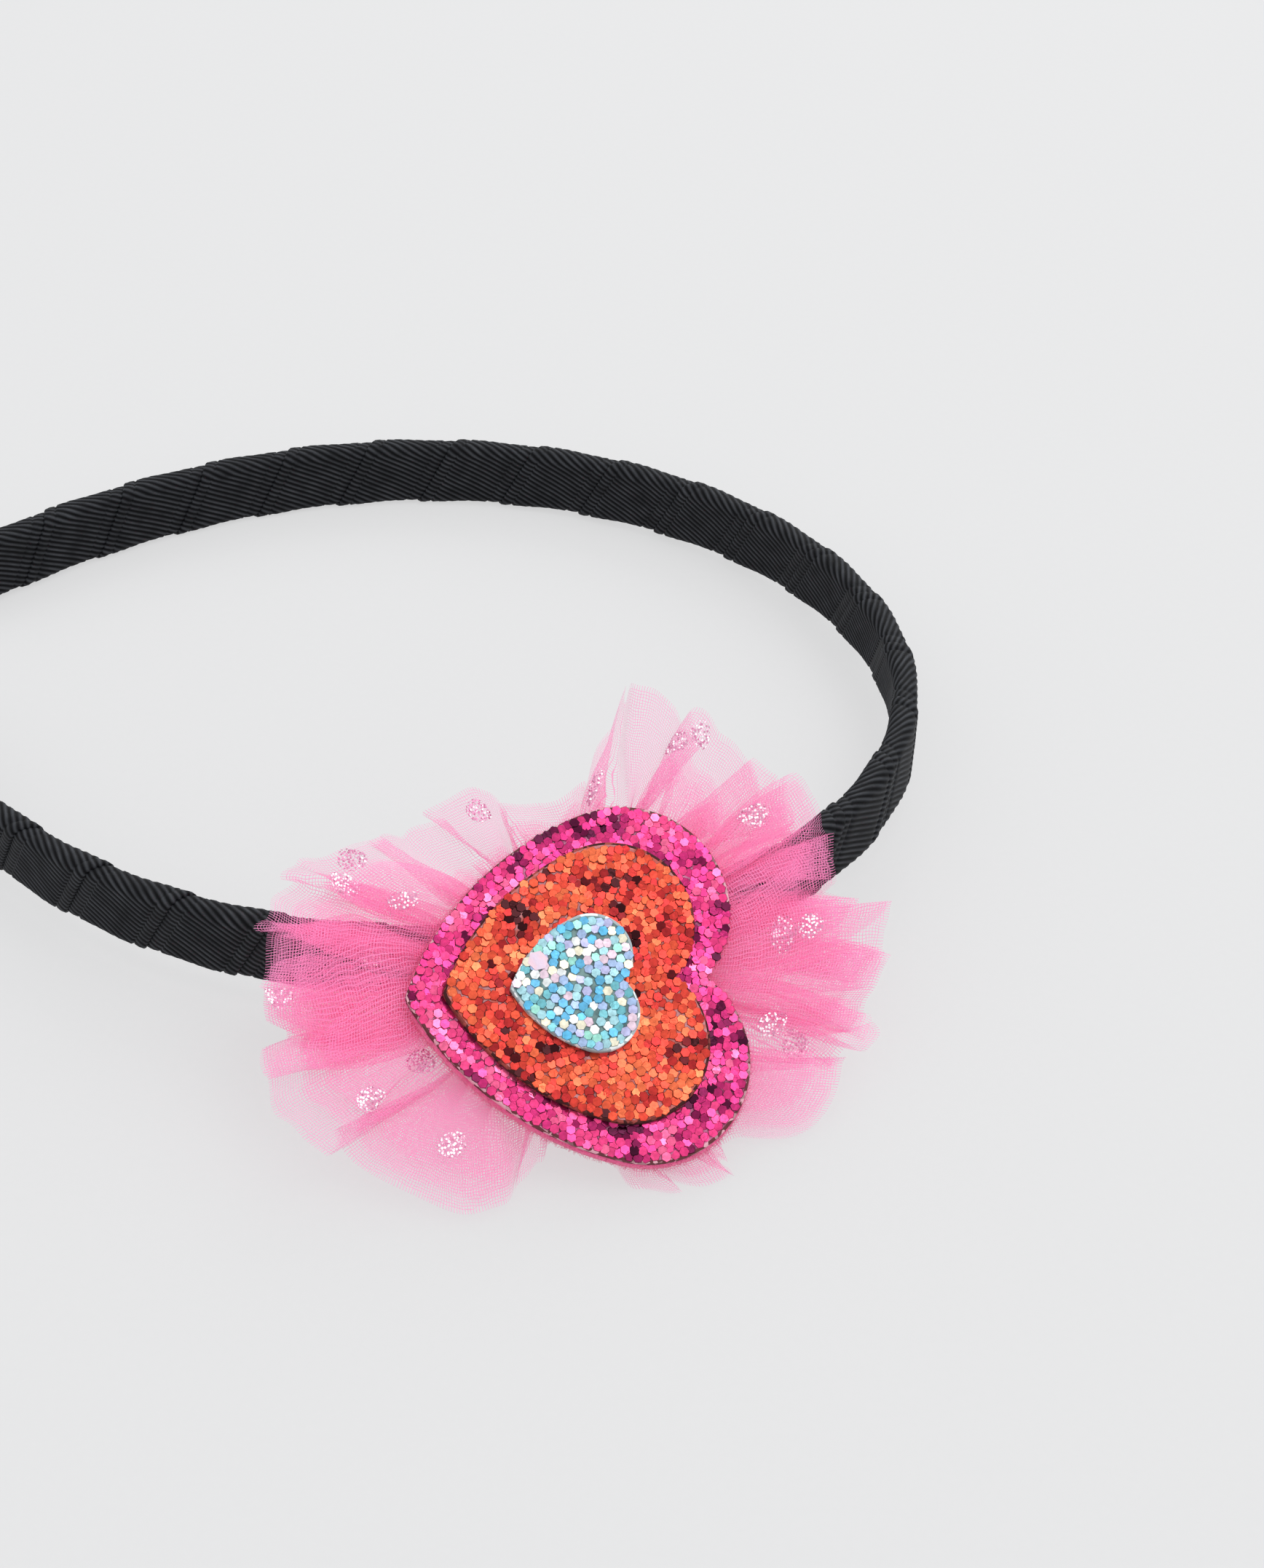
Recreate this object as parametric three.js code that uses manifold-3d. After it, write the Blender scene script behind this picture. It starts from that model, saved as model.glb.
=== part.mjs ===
// Child's headband with a heart motif, lying on its edge on a table.
// A ribbon-wound band bends round the head in an open loop. On one arm a gathered tulle ruffle carries
// a felt heart and three glitter hearts of falling size. Millimetres, +Z up, z = 0 is the table.
import * as THREE from 'three';
import { mergeVertices } from 'three/addons/utils/BufferGeometryUtils.js';
import Module from 'manifold-3d';

const wasm = await Module();
wasm.setup();

const DEG = THREE.MathUtils.DEG2RAD;
const GAP = 0.3; // clearance between pieces that are glued face to face

// Band: rounded strip section, half its length from crown to tip, and the rounded tips
const BAND = { height: 10.4, thickness: 3.2, corner: 1.2, halfLength: 202, tipLength: 4, tipScale: 0.55 };

// Bend of one arm: radius of the centreline at distances from the crown
const ARM_BEND = [
  { along: 0, radius: 47.1 },
  { along: 35, radius: 63.2 },
  { along: 70, radius: 80.3 },
  { along: 110, radius: 82.3 },
  { along: 150, radius: 96.3 },
  { along: 190, radius: 137.4 },
  { along: 210, radius: 150 },
];

// Ribbon winding: advance of each turn, and the ribbon's height over the core through one turn
const WRAP_PITCH = 14;
const WRAP_TURN = [
  { at: 0.0, lift: 0.0 },
  { at: 0.05, lift: 0.45 },
  { at: 0.3, lift: 0.4 },
  { at: 0.5, lift: 0.05 },
];
const WRAP_LIFT = Math.max(...WRAP_TURN.map((row) => row.lift));

// Loop on the table: its crown, the turn of its axis, and the arm with the heart raised a little
const LOOP = { crownX: 39.9, crownY: -0.1, turn: -10.6 * DEG, raise: 2 * DEG, raiseFrom: 13 * DEG };

// Motif: place of its face against the band's centreline, and the way it faces
const MOTIF = { along: -71.8, out: 14.3, up: 8, tilt: 31.3 * DEG, turn: 19.6 * DEG, roll: -10 * DEG };

// Heart shape, the same for every layer: lobe and tip radii as parts of the width, half angle of the tip
const HEART = { lobe: 0.287, tip: 0.03, tipAngle: 66 * DEG, arcSteps: 8 };

// Layers of the motif from the back, with the place of each one's middle as it was glued
const LAYERS = [
  { name: 'felt_backing', width: 48.2, length: 44.3, thickness: 1.8, x: -0.65, y: -0.7, color: 0xe2407f },
  { name: 'heart_large', width: 47.7, length: 43.8, thickness: 1, x: -0.65, y: -0.7, color: 0xb81f6b },
  { name: 'heart_medium', width: 37.4, length: 33.8, thickness: 1, x: -0.93, y: -0.76, color: 0xd8481f },
  { name: 'heart_small', width: 18.3, length: 16.4, thickness: 1, x: -1.18, y: -1.03, color: 0x8fcde0 },
];
const FACE_LAYER = 1; // the layer whose front MOTIF places
const LAYER_ROUGHNESS = 0.5;

// Tulle: wall, depth of its middle behind the felt, height of the part that lies on the table, mesh steps
const TULLE = { wall: 1.3, depth: 2.6, floor: 0.65, steps: 120, rings: 6, swell: 2.2 };
// Gathered root, glued to the band: its place behind the heart, front, back and flare radii, its depth,
// and how far along the band the tulle keeps clear of it
const ROOT = { x: 0, y: 3, radius: 7, neck: 5.5, flare: 10, depth: 11, reach: 45 };

// Folds of the ruffle, anticlockwise as the heart is faced: reach of the cut edge from the root,
// and its lift towards the viewer
const FOLDS = [
  { angle: 2, reach: 42, lift: -1 },
  { angle: 12, reach: 43, lift: 3 },
  { angle: 20, reach: 43.5, lift: -1 },
  { angle: 27, reach: 41, lift: 3 },
  { angle: 37, reach: 41, lift: -1 },
  { angle: 47, reach: 42.5, lift: 4 },
  { angle: 53, reach: 42, lift: 0 },
  { angle: 59, reach: 42.5, lift: 5 },
  { angle: 66, reach: 30, lift: 0 },
  { angle: 80, reach: 26, lift: -1 },
  { angle: 101, reach: 28.5, lift: 2 },
  { angle: 115, reach: 30, lift: -1 },
  { angle: 128, reach: 31.5, lift: 2.5 },
  { angle: 143, reach: 38, lift: -1 },
  { angle: 154, reach: 40, lift: 3 },
  { angle: 165, reach: 39.5, lift: 0 },
  { angle: 172, reach: 39, lift: 4 },
  { angle: 180, reach: 36.5, lift: 0 },
  { angle: 190, reach: 41, lift: 5 },
  { angle: 204, reach: 38.5, lift: 0 },
  { angle: 222, reach: 34.5, lift: 4 },
  { angle: 238, reach: 34, lift: 1 },
  { angle: 250, reach: 25, lift: 0 },
  { angle: 262, reach: 25, lift: 0 },
  { angle: 275, reach: 32, lift: 0 },
  { angle: 292, reach: 34, lift: 1 },
  { angle: 301, reach: 32.5, lift: 0 },
  { angle: 316, reach: 39, lift: 4 },
  { angle: 327, reach: 40, lift: 0 },
  { angle: 334, reach: 43, lift: 3 },
  { angle: 342, reach: 42.5, lift: 0 },
  { angle: 351, reach: 45, lift: 4 },
];

// Closed mesh from a flat list of coordinates and a list of triangle corners
function closedGeometry(positions, triangles) {
  const geometry = new THREE.BufferGeometry();
  geometry.setAttribute('position', new THREE.Float32BufferAttribute(positions, 3));
  geometry.setIndex(triangles);
  geometry.computeVertexNormals();
  return geometry;
}

// A closed geometry as a solid that can be cut, and the way back
function toSolid(geometry) {
  const bare = geometry.clone();
  bare.deleteAttribute('normal');
  const welded = mergeVertices(bare);
  return new wasm.Manifold(new wasm.Mesh({
    numProp: 3,
    vertProperties: new Float32Array(welded.attributes.position.array),
    triVerts: new Uint32Array(welded.index.array),
  }));
}

function fromSolid(solid) {
  const mesh = solid.getMesh();
  return closedGeometry(Array.from(mesh.vertProperties), Array.from(mesh.triVerts));
}

// Centreline of one arm from the crown, one step a millimetre: place and heading
function bendArm() {
  const arm = [{ x: 0, y: 0, heading: 0 }];
  let row = 0;
  for (let along = 0.5; along < BAND.halfLength + 1; along += 1) {
    while (along > ARM_BEND[row + 1].along) row += 1;
    const [from, to] = [ARM_BEND[row], ARM_BEND[row + 1]];
    const share = (along - from.along) / (to.along - from.along);
    const curvature = THREE.MathUtils.lerp(1 / from.radius, 1 / to.radius, share);
    const last = arm.at(-1);
    const middle = last.heading + curvature / 2;
    arm.push({
      x: last.x - Math.sin(middle),
      y: last.y + Math.cos(middle),
      heading: last.heading + curvature,
    });
  }
  return arm;
}

const ARM = bendArm();

// Point of the centreline and the way out of the loop; along is negative on the arm with the heart
function loopFrame(along) {
  const side = Math.sign(along) || 1;
  const distance = Math.min(Math.abs(along), ARM.length - 1.001);
  const [from, to] = [ARM[Math.floor(distance)], ARM[Math.floor(distance) + 1]];
  const share = distance % 1;
  const heading = THREE.MathUtils.lerp(from.heading, to.heading, share);
  return {
    x: THREE.MathUtils.lerp(from.x, to.x, share),
    y: side * THREE.MathUtils.lerp(from.y, to.y, share),
    outX: Math.cos(heading),
    outY: side * Math.sin(heading),
  };
}

// Section of the band: up the inner face, over the top, down the outer face and back underneath
function bandSection(grow) {
  const halfThick = BAND.thickness / 2 + grow;
  const halfHigh = BAND.height / 2 + grow;
  const round = BAND.corner + grow;
  const corners = [
    { out: round - halfThick, up: halfHigh - round, start: 180 },
    { out: halfThick - round, up: halfHigh - round, start: 90 },
    { out: halfThick - round, up: round - halfHigh, start: 0 },
    { out: round - halfThick, up: round - halfHigh, start: -90 },
  ];
  const section = [];
  function point(out, up, angle) {
    const [outward, upward] = [Math.cos(angle * DEG), Math.sin(angle * DEG)];
    section.push({ out: out + round * outward, up: up + round * upward, outward, upward });
  }
  for (const { out, up, start } of corners) {
    if (start % 180 === 0) point(out, 0, start);
    for (const turn of [0, 45, 90]) point(out, up, start - turn);
  }
  return section;
}

// Wound band from one place along the loop to another. Rows of the mesh follow the ribbon, which climbs
// the inner face and falls on the outer one, so each column starts a little further along than the last.
function woundBand(from, to, grow, winding) {
  const section = bandSection(grow);
  const columns = section.length;
  const length = from - to;
  const positions = [];
  const index = new Map();

  function vertex(row, column) {
    const turnRow = row + (column === columns ? WRAP_TURN.length : 0);
    const spot = column % columns;
    const turn = Math.floor(turnRow / WRAP_TURN.length);
    const wrap = WRAP_TURN[turnRow - turn * WRAP_TURN.length];
    const wanted = WRAP_PITCH * (turn + wrap.at + spot / columns);
    const done = THREE.MathUtils.clamp(wanted, 0, length);
    const ended = done !== wanted;
    const key = ended ? `${done}:${spot}` : `${turnRow}/${spot}`;
    if (index.has(key)) return index.get(key);
    const frame = loopFrame(from - done);
    const tip = Math.min(1, (winding ? Math.min(done, length - done) : length) / BAND.tipLength);
    const size = THREE.MathUtils.lerp(BAND.tipScale, 1, Math.sqrt(1 - (1 - tip) ** 2));
    const lift = winding && !ended ? wrap.lift : 0;
    const { out, up, outward, upward } = section[spot];
    const sideways = size * (out + lift * outward);
    const height = BAND.height / 2 + WRAP_LIFT + size * (up + lift * upward);
    index.set(key, positions.length / 3);
    positions.push(frame.x + frame.outX * sideways, frame.y + frame.outY * sideways, height);
    return index.get(key);
  }

  const triangles = [];
  function triangle(a, b, c) {
    if (a !== b && b !== c && c !== a) triangles.push(a, b, c);
  }
  const rows = WRAP_TURN.length * Math.ceil(length / WRAP_PITCH + 1);
  for (let row = -2 * WRAP_TURN.length; row < rows; row += 1) {
    for (let column = 0; column < columns; column += 1) {
      const [a, b] = [vertex(row, column), vertex(row + 1, column)];
      const [c, d] = [vertex(row + 1, column + 1), vertex(row, column + 1)];
      triangle(a, b, c);
      triangle(a, c, d);
    }
  }
  for (let column = 1; column < columns - 1; column += 1) {
    triangle(index.get('0:0'), index.get(`0:${column}`), index.get(`0:${column + 1}`));
    const [p, q, r] = [0, column + 1, column].map((spot) => index.get(`${length}:${spot}`));
    triangle(p, q, r);
  }
  return closedGeometry(positions, triangles);
}

// Heart outline, tip towards -X and lobes towards +X, centred on its length: round lobes, gently bowed
// sides that run into them, and a small round tip
function heartShape(width, length) {
  const lobe = HEART.lobe * width;
  const lobeX = length - lobe;
  const lobeY = width / 2 - lobe;
  const [sin, cos] = [Math.sin(HEART.tipAngle), Math.cos(HEART.tipAngle)];
  const side = (lobeX ** 2 + lobeY ** 2 - lobe ** 2) / (2 * (lobeX * sin - lobeY * cos - lobe));
  const tip = HEART.tip * width;
  const tipX = side * sin - Math.sqrt((side * sin) ** 2 - 2 * side * tip + tip ** 2);
  const cleft = Math.atan2(-lobeY, Math.sqrt(lobe ** 2 - lobeY ** 2));
  const shoulder = Math.atan2(lobeY + side * cos, lobeX - side * sin);
  const point = Math.atan2(side * cos, tipX - side * sin);
  const shift = -(length + tipX - tip) / 2;
  const shape = new THREE.Shape();
  shape.absarc(lobeX + shift, lobeY, lobe, cleft, shoulder, false);
  shape.absarc(side * sin + shift, -side * cos, side, shoulder, point, false);
  shape.absarc(tipX + shift, 0, tip, point, 2 * Math.PI - point, false);
  shape.absarc(side * sin + shift, side * cos, side, -point, -shoulder, false);
  shape.absarc(lobeX + shift, -lobeY, lobe, -shoulder, -cleft, false);
  return shape;
}

// Fold at an angle round the root, eased from one row of the table to the next
function foldAt(angle) {
  const turn = ((angle % 360) + 360) % 360;
  const next = FOLDS.findIndex((fold) => fold.angle > turn);
  const to = FOLDS[Math.max(next, 0)];
  const from = FOLDS.at(Math.max(next, 0) - 1);
  const span = (to.angle - from.angle + 360) % 360;
  const share = ((turn - from.angle + 360) % 360) / span;
  const ease = (1 - Math.cos(Math.PI * share)) / 2;
  return {
    reach: THREE.MathUtils.lerp(from.reach, to.reach, ease),
    lift: THREE.MathUtils.lerp(from.lift, to.lift, ease),
  };
}

// Ruffle: a thin folded sheet round a thick gathered root. Folds swell towards the cut edge, and what
// would hang below the table lies on it. faceHeight is the height of the felt's back over the table.
function tulleSheet(faceHeight) {
  const positions = [];
  const triangles = [];
  const [sin, cos] = [Math.sin(MOTIF.tilt), Math.cos(MOTIF.tilt)];
  const half = TULLE.wall / 2;

  function place(x, y, middle, front) {
    const height = faceHeight + y * sin + middle * cos;
    const rise = Math.max(0, TULLE.floor - height);
    positions.push(x, y + rise * sin, middle + rise * cos + (front ? half : -half));
  }
  function ring(front, radiusAt, heightAt) {
    for (let step = 0; step < TULLE.steps; step += 1) {
      const angle = (360 * step) / TULLE.steps;
      const fold = foldAt(angle);
      const radius = radiusAt(fold);
      const [x, y] = [radius * Math.cos(angle * DEG), radius * Math.sin(angle * DEG)];
      place(ROOT.x + x, ROOT.y + y, heightAt(fold), front);
    }
  }

  const shares = Array.from({ length: TULLE.rings }, (_, ringStep) => (ringStep + 1) / TULLE.rings);
  const sheetRing = (front, share) => ring(
    front,
    (fold) => THREE.MathUtils.lerp(ROOT.flare, fold.reach, share),
    (fold) => -TULLE.depth + fold.lift * share ** TULLE.swell,
  );
  ring(true, () => ROOT.radius, () => -GAP - half);
  ring(true, () => ROOT.flare, () => -TULLE.depth);
  shares.forEach((share) => sheetRing(true, share));
  [...shares].reverse().forEach((share) => sheetRing(false, share));
  ring(false, () => ROOT.flare, () => -TULLE.depth);
  ring(false, () => ROOT.neck, () => half - ROOT.depth);
  const rings = positions.length / 3 / TULLE.steps;

  for (let level = 0; level < rings - 1; level += 1) {
    for (let step = 0; step < TULLE.steps; step += 1) {
      const next = (step + 1) % TULLE.steps;
      const [a, b] = [level * TULLE.steps + step, (level + 1) * TULLE.steps + step];
      const [c, d] = [(level + 1) * TULLE.steps + next, level * TULLE.steps + next];
      triangles.push(a, b, c, a, c, d);
    }
  }
  const frontPole = positions.length / 3;
  positions.push(ROOT.x, ROOT.y, -GAP);
  const backPole = frontPole + 1;
  positions.push(ROOT.x, ROOT.y, -ROOT.depth);
  const lastRing = (rings - 1) * TULLE.steps;
  for (let step = 0; step < TULLE.steps; step += 1) {
    const next = (step + 1) % TULLE.steps;
    triangles.push(frontPole, step, next, backPole, lastRing + next, lastRing + step);
  }
  return closedGeometry(positions, triangles);
}

function cloth(color, roughness) {
  return new THREE.MeshStandardMaterial({ color, roughness, metalness: 0 });
}

function piece(name, geometry, material) {
  const mesh = new THREE.Mesh(geometry, material);
  mesh.name = name;
  return mesh;
}

// The loop lies on the far arm's lower edge, turned about that line so that the other arm is raised
const headband = new THREE.Group();
const away = new THREE.Vector3(-Math.sin(LOOP.raiseFrom), Math.cos(LOOP.raiseFrom), 0);
const level = new THREE.Group();
level.position.set(LOOP.crownX, LOOP.crownY, 0);
level.rotation.z = LOOP.turn;
level.updateMatrix();
let restLine = -Infinity;
for (let along = 0; along <= BAND.halfLength; along += 1) {
  const { x, y, outX, outY } = loopFrame(along);
  const edge = new THREE.Vector3(x + (outX * BAND.thickness) / 2, y + (outY * BAND.thickness) / 2, 0);
  restLine = Math.max(restLine, edge.applyMatrix4(level.matrix).dot(away));
}
const raised = new THREE.Group();
raised.position.copy(away).multiplyScalar(restLine);
raised.quaternion.setFromAxisAngle(new THREE.Vector3(-away.y, away.x, 0), LOOP.raise);
level.position.sub(raised.position);
raised.add(level);
headband.add(raised);
const winding = woundBand(BAND.halfLength, -BAND.halfLength, 0, true);
level.add(piece('ribbon_band', winding, cloth(0x232428, 0.8)));

// The motif stands off the outer face of the raised arm
headband.updateMatrixWorld(true);
const seat = loopFrame(MOTIF.along);
const seatMiddle = BAND.height / 2 + WRAP_LIFT;
const seatPoint = new THREE.Vector3(seat.x, seat.y, seatMiddle).applyMatrix4(level.matrixWorld);
const seatOut = new THREE.Vector3(seat.outX, seat.outY, 0).transformDirection(level.matrixWorld);
const motif = new THREE.Group();
motif.rotation.set(MOTIF.tilt, 0, MOTIF.turn, 'ZXY');
motif.position.copy(seatPoint).addScaledVector(seatOut, MOTIF.out);
motif.position.z = seatPoint.z + MOTIF.up;
const layersToFace = LAYERS.slice(0, FACE_LAYER + 1);
const faceDepth = layersToFace.reduce((sum, layer) => sum + layer.thickness, 0) + FACE_LAYER * GAP;
motif.translateZ(-faceDepth);
headband.add(motif);

const hearts = new THREE.Group();
hearts.rotation.z = MOTIF.roll;
motif.add(hearts);
let layerBase = 0;
for (const { name, width, length, thickness, x, y, color } of LAYERS) {
  const options = { depth: thickness, bevelEnabled: false, curveSegments: HEART.arcSteps };
  const sheet = new THREE.ExtrudeGeometry(heartShape(width, length), options);
  const mesh = piece(name, sheet, cloth(color, LAYER_ROUGHNESS));
  mesh.position.set(x, y, layerBase);
  hearts.add(mesh);
  layerBase += thickness + GAP;
}

// The gathered root is hollowed where it sits on the band
headband.updateMatrixWorld(true);
const roomFrom = MOTIF.along + ROOT.reach;
const bandRoom = woundBand(roomFrom, roomFrom - 2 * ROOT.reach, WRAP_LIFT + GAP, false);
bandRoom.applyMatrix4(level.matrixWorld).applyMatrix4(motif.matrixWorld.clone().invert());
const ruffle = toSolid(tulleSheet(motif.position.z)).subtract(toSolid(bandRoom));
motif.add(piece('tulle_ruffle', fromSolid(ruffle), cloth(0xf06aa8, 0.9)));

// Origin on the table under the middle of the whole headband
headband.updateMatrixWorld(true);
const box = new THREE.Box3().setFromObject(headband, true);
const middle = box.getCenter(new THREE.Vector3());
headband.position.set(-middle.x, -middle.y, -box.min.z);

export default headband;
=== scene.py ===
"""Heart headband lying on its edge: a ribbon-wound band with a tulle ruffle, a felt heart and three
glitter hearts on one arm. Sizes are in millimetres, and a mesh is made in metres."""
import math

import bpy
import numpy as np
from mathutils import Matrix, Vector


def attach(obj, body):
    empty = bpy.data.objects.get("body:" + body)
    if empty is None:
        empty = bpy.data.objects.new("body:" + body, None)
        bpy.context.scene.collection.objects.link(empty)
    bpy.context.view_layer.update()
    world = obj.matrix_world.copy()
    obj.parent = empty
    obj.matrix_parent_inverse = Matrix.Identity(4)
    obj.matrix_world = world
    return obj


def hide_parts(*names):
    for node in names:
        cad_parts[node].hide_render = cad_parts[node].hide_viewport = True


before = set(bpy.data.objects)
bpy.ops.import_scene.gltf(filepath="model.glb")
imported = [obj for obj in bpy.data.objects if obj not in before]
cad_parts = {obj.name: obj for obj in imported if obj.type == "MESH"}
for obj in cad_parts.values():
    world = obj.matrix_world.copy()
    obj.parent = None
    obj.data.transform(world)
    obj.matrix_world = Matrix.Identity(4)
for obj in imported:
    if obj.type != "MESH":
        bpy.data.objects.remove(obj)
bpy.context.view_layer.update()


# Studio. A pale grey table runs on as a plain backdrop, in an even bright room with one soft lamp above
# the heart and one behind it. The camera stands in front of the heart's arm and looks down on it.
MM = 0.001
CAMERA_AIM = (36.0, 3.9, 0.0)
CAMERA_DISTANCE, CAMERA_NEAR = 410.9, 10
CAMERA_PITCH = math.radians(40.5)
FOCAL_PX, PHOTO_HEIGHT_PX = 3775, 2154
SENSOR_WIDTH = 36
NET_PASSES, CLOTH_BOUNCES = 32, 8
TABLE_HALF = 30000
TABLE_GREY, TABLE_DUST = (0.757, 0.757, 0.761, 1), (0.745, 0.745, 0.749, 1)
TABLE_GLOW = 0.78
ROOM_COLOUR = (0.97, 0.985, 1.0, 1)
ROOM_STRENGTH, HORIZON_STRENGTH, HORIZON_HEIGHT = 1.1, 0.77, 0.1
LAMPS = (
    {"name": "lamp_over_heart", "place": (440, -110, 840), "size": 430, "watts": 1.55},
    {"name": "lamp_behind", "place": (250, 700, 520), "size": 500, "watts": 2.0},
)

camera_back = Vector((0, -math.cos(CAMERA_PITCH), math.sin(CAMERA_PITCH)))
camera_data = bpy.data.cameras.new("camera")
camera_data.sensor_width = SENSOR_WIDTH
camera_data.lens = SENSOR_WIDTH * FOCAL_PX / PHOTO_HEIGHT_PX
camera_data.clip_start = CAMERA_NEAR * MM
camera = bpy.data.objects.new("camera", camera_data)
camera.location = (Vector(CAMERA_AIM) + CAMERA_DISTANCE * camera_back) * MM
camera.rotation_euler = (math.pi / 2 - CAMERA_PITCH, 0, 0)
bpy.context.collection.objects.link(camera)
bpy.context.scene.camera = camera
bpy.context.scene.view_settings.view_transform = "Standard"
# Light goes on through many folds of net before it is lost
bpy.context.scene.cycles.transparent_max_bounces = NET_PASSES
bpy.context.scene.cycles.diffuse_bounces = CLOTH_BOUNCES

for row in LAMPS:
    lamp_data = bpy.data.lights.new(row["name"], "AREA")
    lamp_data.size = row["size"] * MM
    lamp_data.energy = row["watts"]
    lamp = bpy.data.objects.new(row["name"], lamp_data)
    lamp.location = Vector(row["place"]) * MM
    lamp.rotation_euler = (-Vector(row["place"])).to_track_quat("-Z", "Y").to_euler()
    bpy.context.collection.objects.link(lamp)


def feed(tree, node, inputs):
    """Sets a node's inputs, each to a plain value or from the socket that feeds it."""
    for key, value in inputs.items():
        if isinstance(value, bpy.types.NodeSocket):
            tree.links.new(value, node.inputs[key])
        else:
            node.inputs[key].default_value = value


def add(tree, kind, inputs=None, **settings):
    """A new node of a tree, with its settings and inputs."""
    made = tree.nodes.new(kind)
    for name, value in settings.items():
        setattr(made, name, value)
    feed(tree, made, inputs or {})
    return made


def out_of(tree, kind, inputs=None, **settings):
    """What comes first out of a new node."""
    return add(tree, kind, inputs, **settings).outputs[0]


def noise(tree, place, scale, detail, distortion=0.0):
    """Soft noise at a place, from 0 to 1."""
    inputs = {"Vector": place, "Scale": scale, "Detail": detail, "Distortion": distortion}
    return add(tree, "ShaderNodeTexNoise", inputs).outputs["Fac"]


def ranged(tree, value, low=0.0, high=1.0, to_low=0.0, to_high=1.0):
    """A value that runs from low to high, made to run between two others and held there."""
    inputs = {0: value, 1: low, 2: high, 3: to_low, 4: to_high}
    return out_of(tree, "ShaderNodeMapRange", inputs)


def blend(tree, share, first, second):
    """A colour between two, by the share of the second."""
    # A Mix node has sockets of the same names for each kind of value, so they go by number
    return add(tree, "ShaderNodeMix", {0: share, 6: first, 7: second}, data_type="RGBA").outputs[2]


def layered(tree, share, first, second):
    """A surface between two, by the share of the second."""
    return out_of(tree, "ShaderNodeMixShader", {0: share, 1: first, 2: second})


def object_place(tree):
    """Where a surface point is in the part."""
    return add(tree, "ShaderNodeTexCoord").outputs["Object"]


def new_material(name):
    """A material with only its output and shader, and the tree and shader to build on."""
    material = bpy.data.materials.new(name)
    material.use_nodes = True
    return material, material.node_tree, material.node_tree.nodes["Principled BSDF"]


def show(tree, surface):
    """Makes a surface the one that a material shows."""
    feed(tree, tree.nodes["Material Output"], {"Surface": surface})


def mesh_object(name, vertices, faces, material):
    """An object at the origin whose mesh has its place in it, from millimetres, smoothly shaded."""
    mesh = bpy.data.meshes.new(name)
    mesh.from_pydata((np.asarray(vertices) * MM).tolist(), [], [list(face) for face in faces])
    mesh.materials.append(material)
    mesh.shade_smooth()
    made = bpy.data.objects.new(name, mesh)
    bpy.context.collection.objects.link(made)
    return made


room = bpy.data.worlds.new("room")
room.use_nodes = True
tree = room.node_tree
direction = add(tree, "ShaderNodeSeparateXYZ", {0: add(tree, "ShaderNodeTexCoord").outputs["Generated"]})
# The room is as grey as the table at the horizon, so that no line shows where they meet
strength = ranged(
    tree, direction.outputs[2], high=HORIZON_HEIGHT, to_low=HORIZON_STRENGTH, to_high=ROOM_STRENGTH
)
feed(tree, tree.nodes["Background"], {"Color": ROOM_COLOUR, "Strength": strength})
bpy.context.scene.world = room

table_material, tree, shader = new_material("pale_table")
tint = blend(tree, noise(tree, object_place(tree), scale=900.0, detail=3.0), TABLE_GREY, TABLE_DUST)
feed(tree, shader, {"Base Color": tint, "Roughness": 0.9, "Specular IOR Level": 0.1})
# Most of the table's light comes through it, as on a light table, so that shadows on it stay faint
through = out_of(tree, "ShaderNodeEmission", {"Color": tint})
show(tree, layered(tree, TABLE_GLOW, shader.outputs[0], through))
corners = [(x * TABLE_HALF, y * TABLE_HALF, 0) for x, y in ((-1, -1), (1, -1), (1, 1), (-1, 1))]
mesh_object("table", corners, [(0, 1, 2, 3)], table_material)


# Ribbon-wound band. A springy strip bent to the head is wound from tip to tip with black grosgrain, each
# turn lapped over the last and glued down. Cross ribs cover the ribbon, and its woven edges stand proud.
BAND_HEIGHT, BAND_THICKNESS, BAND_CORNER = 10.4, 3.2, 1.2
BAND_FLAT, BAND_UPRIGHT = BAND_THICKNESS / 2 - BAND_CORNER, BAND_HEIGHT / 2 - BAND_CORNER
BAND_GIRTH = 4 * (BAND_FLAT + BAND_UPRIGHT) + math.tau * BAND_CORNER
BAND_HALF_LENGTH = 202
BAND_LENGTH = 2 * BAND_HALF_LENGTH
ARM_SPARE = 2.0
# At a tip the band narrows over this length to this share, and a dome of this length closes it
TIP_LENGTH, TIP_SCALE, TIP_DOME = 4.0, 0.55, 0.9
# Radius of an arm's bend at distances along it from the crown
ARM_BEND = {"along": (0, 35, 70, 110, 150, 190, 210), "radius": (47.1, 63.2, 80.3, 82.3, 96.3, 137.4, 150)}
# Where the crown of the loop is, how the loop is turned flat on the table, and how far it is then raised
# about a level line at an angle
LOOP_CROWN = (75.86, 3.88, 3.22)
LOOP_TURN, LOOP_RAISE, RAISE_FROM = math.radians(-10.6), math.radians(2), math.radians(13)
WRAP_PITCH, WRAP_LIFT = 14, 0.45
# Height of the ribbon over the strip at distances across it, from its lapping edge to its hidden one
RIBBON_ACROSS = (
    0, 0.02, 0.25, 0.9, 1.5, 1.75, 2.1, 3, 4, 5, 6, 7, 8, 9, 10, 10.35, 10.6, 11.2, 11.8, 12.2, 12.9,
)
RIBBON_HEIGHT = (
    -0.05, 0.3, 0.42, 0.45, 0.36, 0.22, 0.3, 0.3, 0.27, 0.2, 0.13, 0.07, 0.04, 0.04, 0.04, 0.0, 0.12, 0.18,
    0.12, 0.02, -0.06,
)
RIB_PITCH, RIB_HEIGHT, RIB_STEPS, RIB_SHARPNESS = 0.85, 0.2, 4, 3.0
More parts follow.
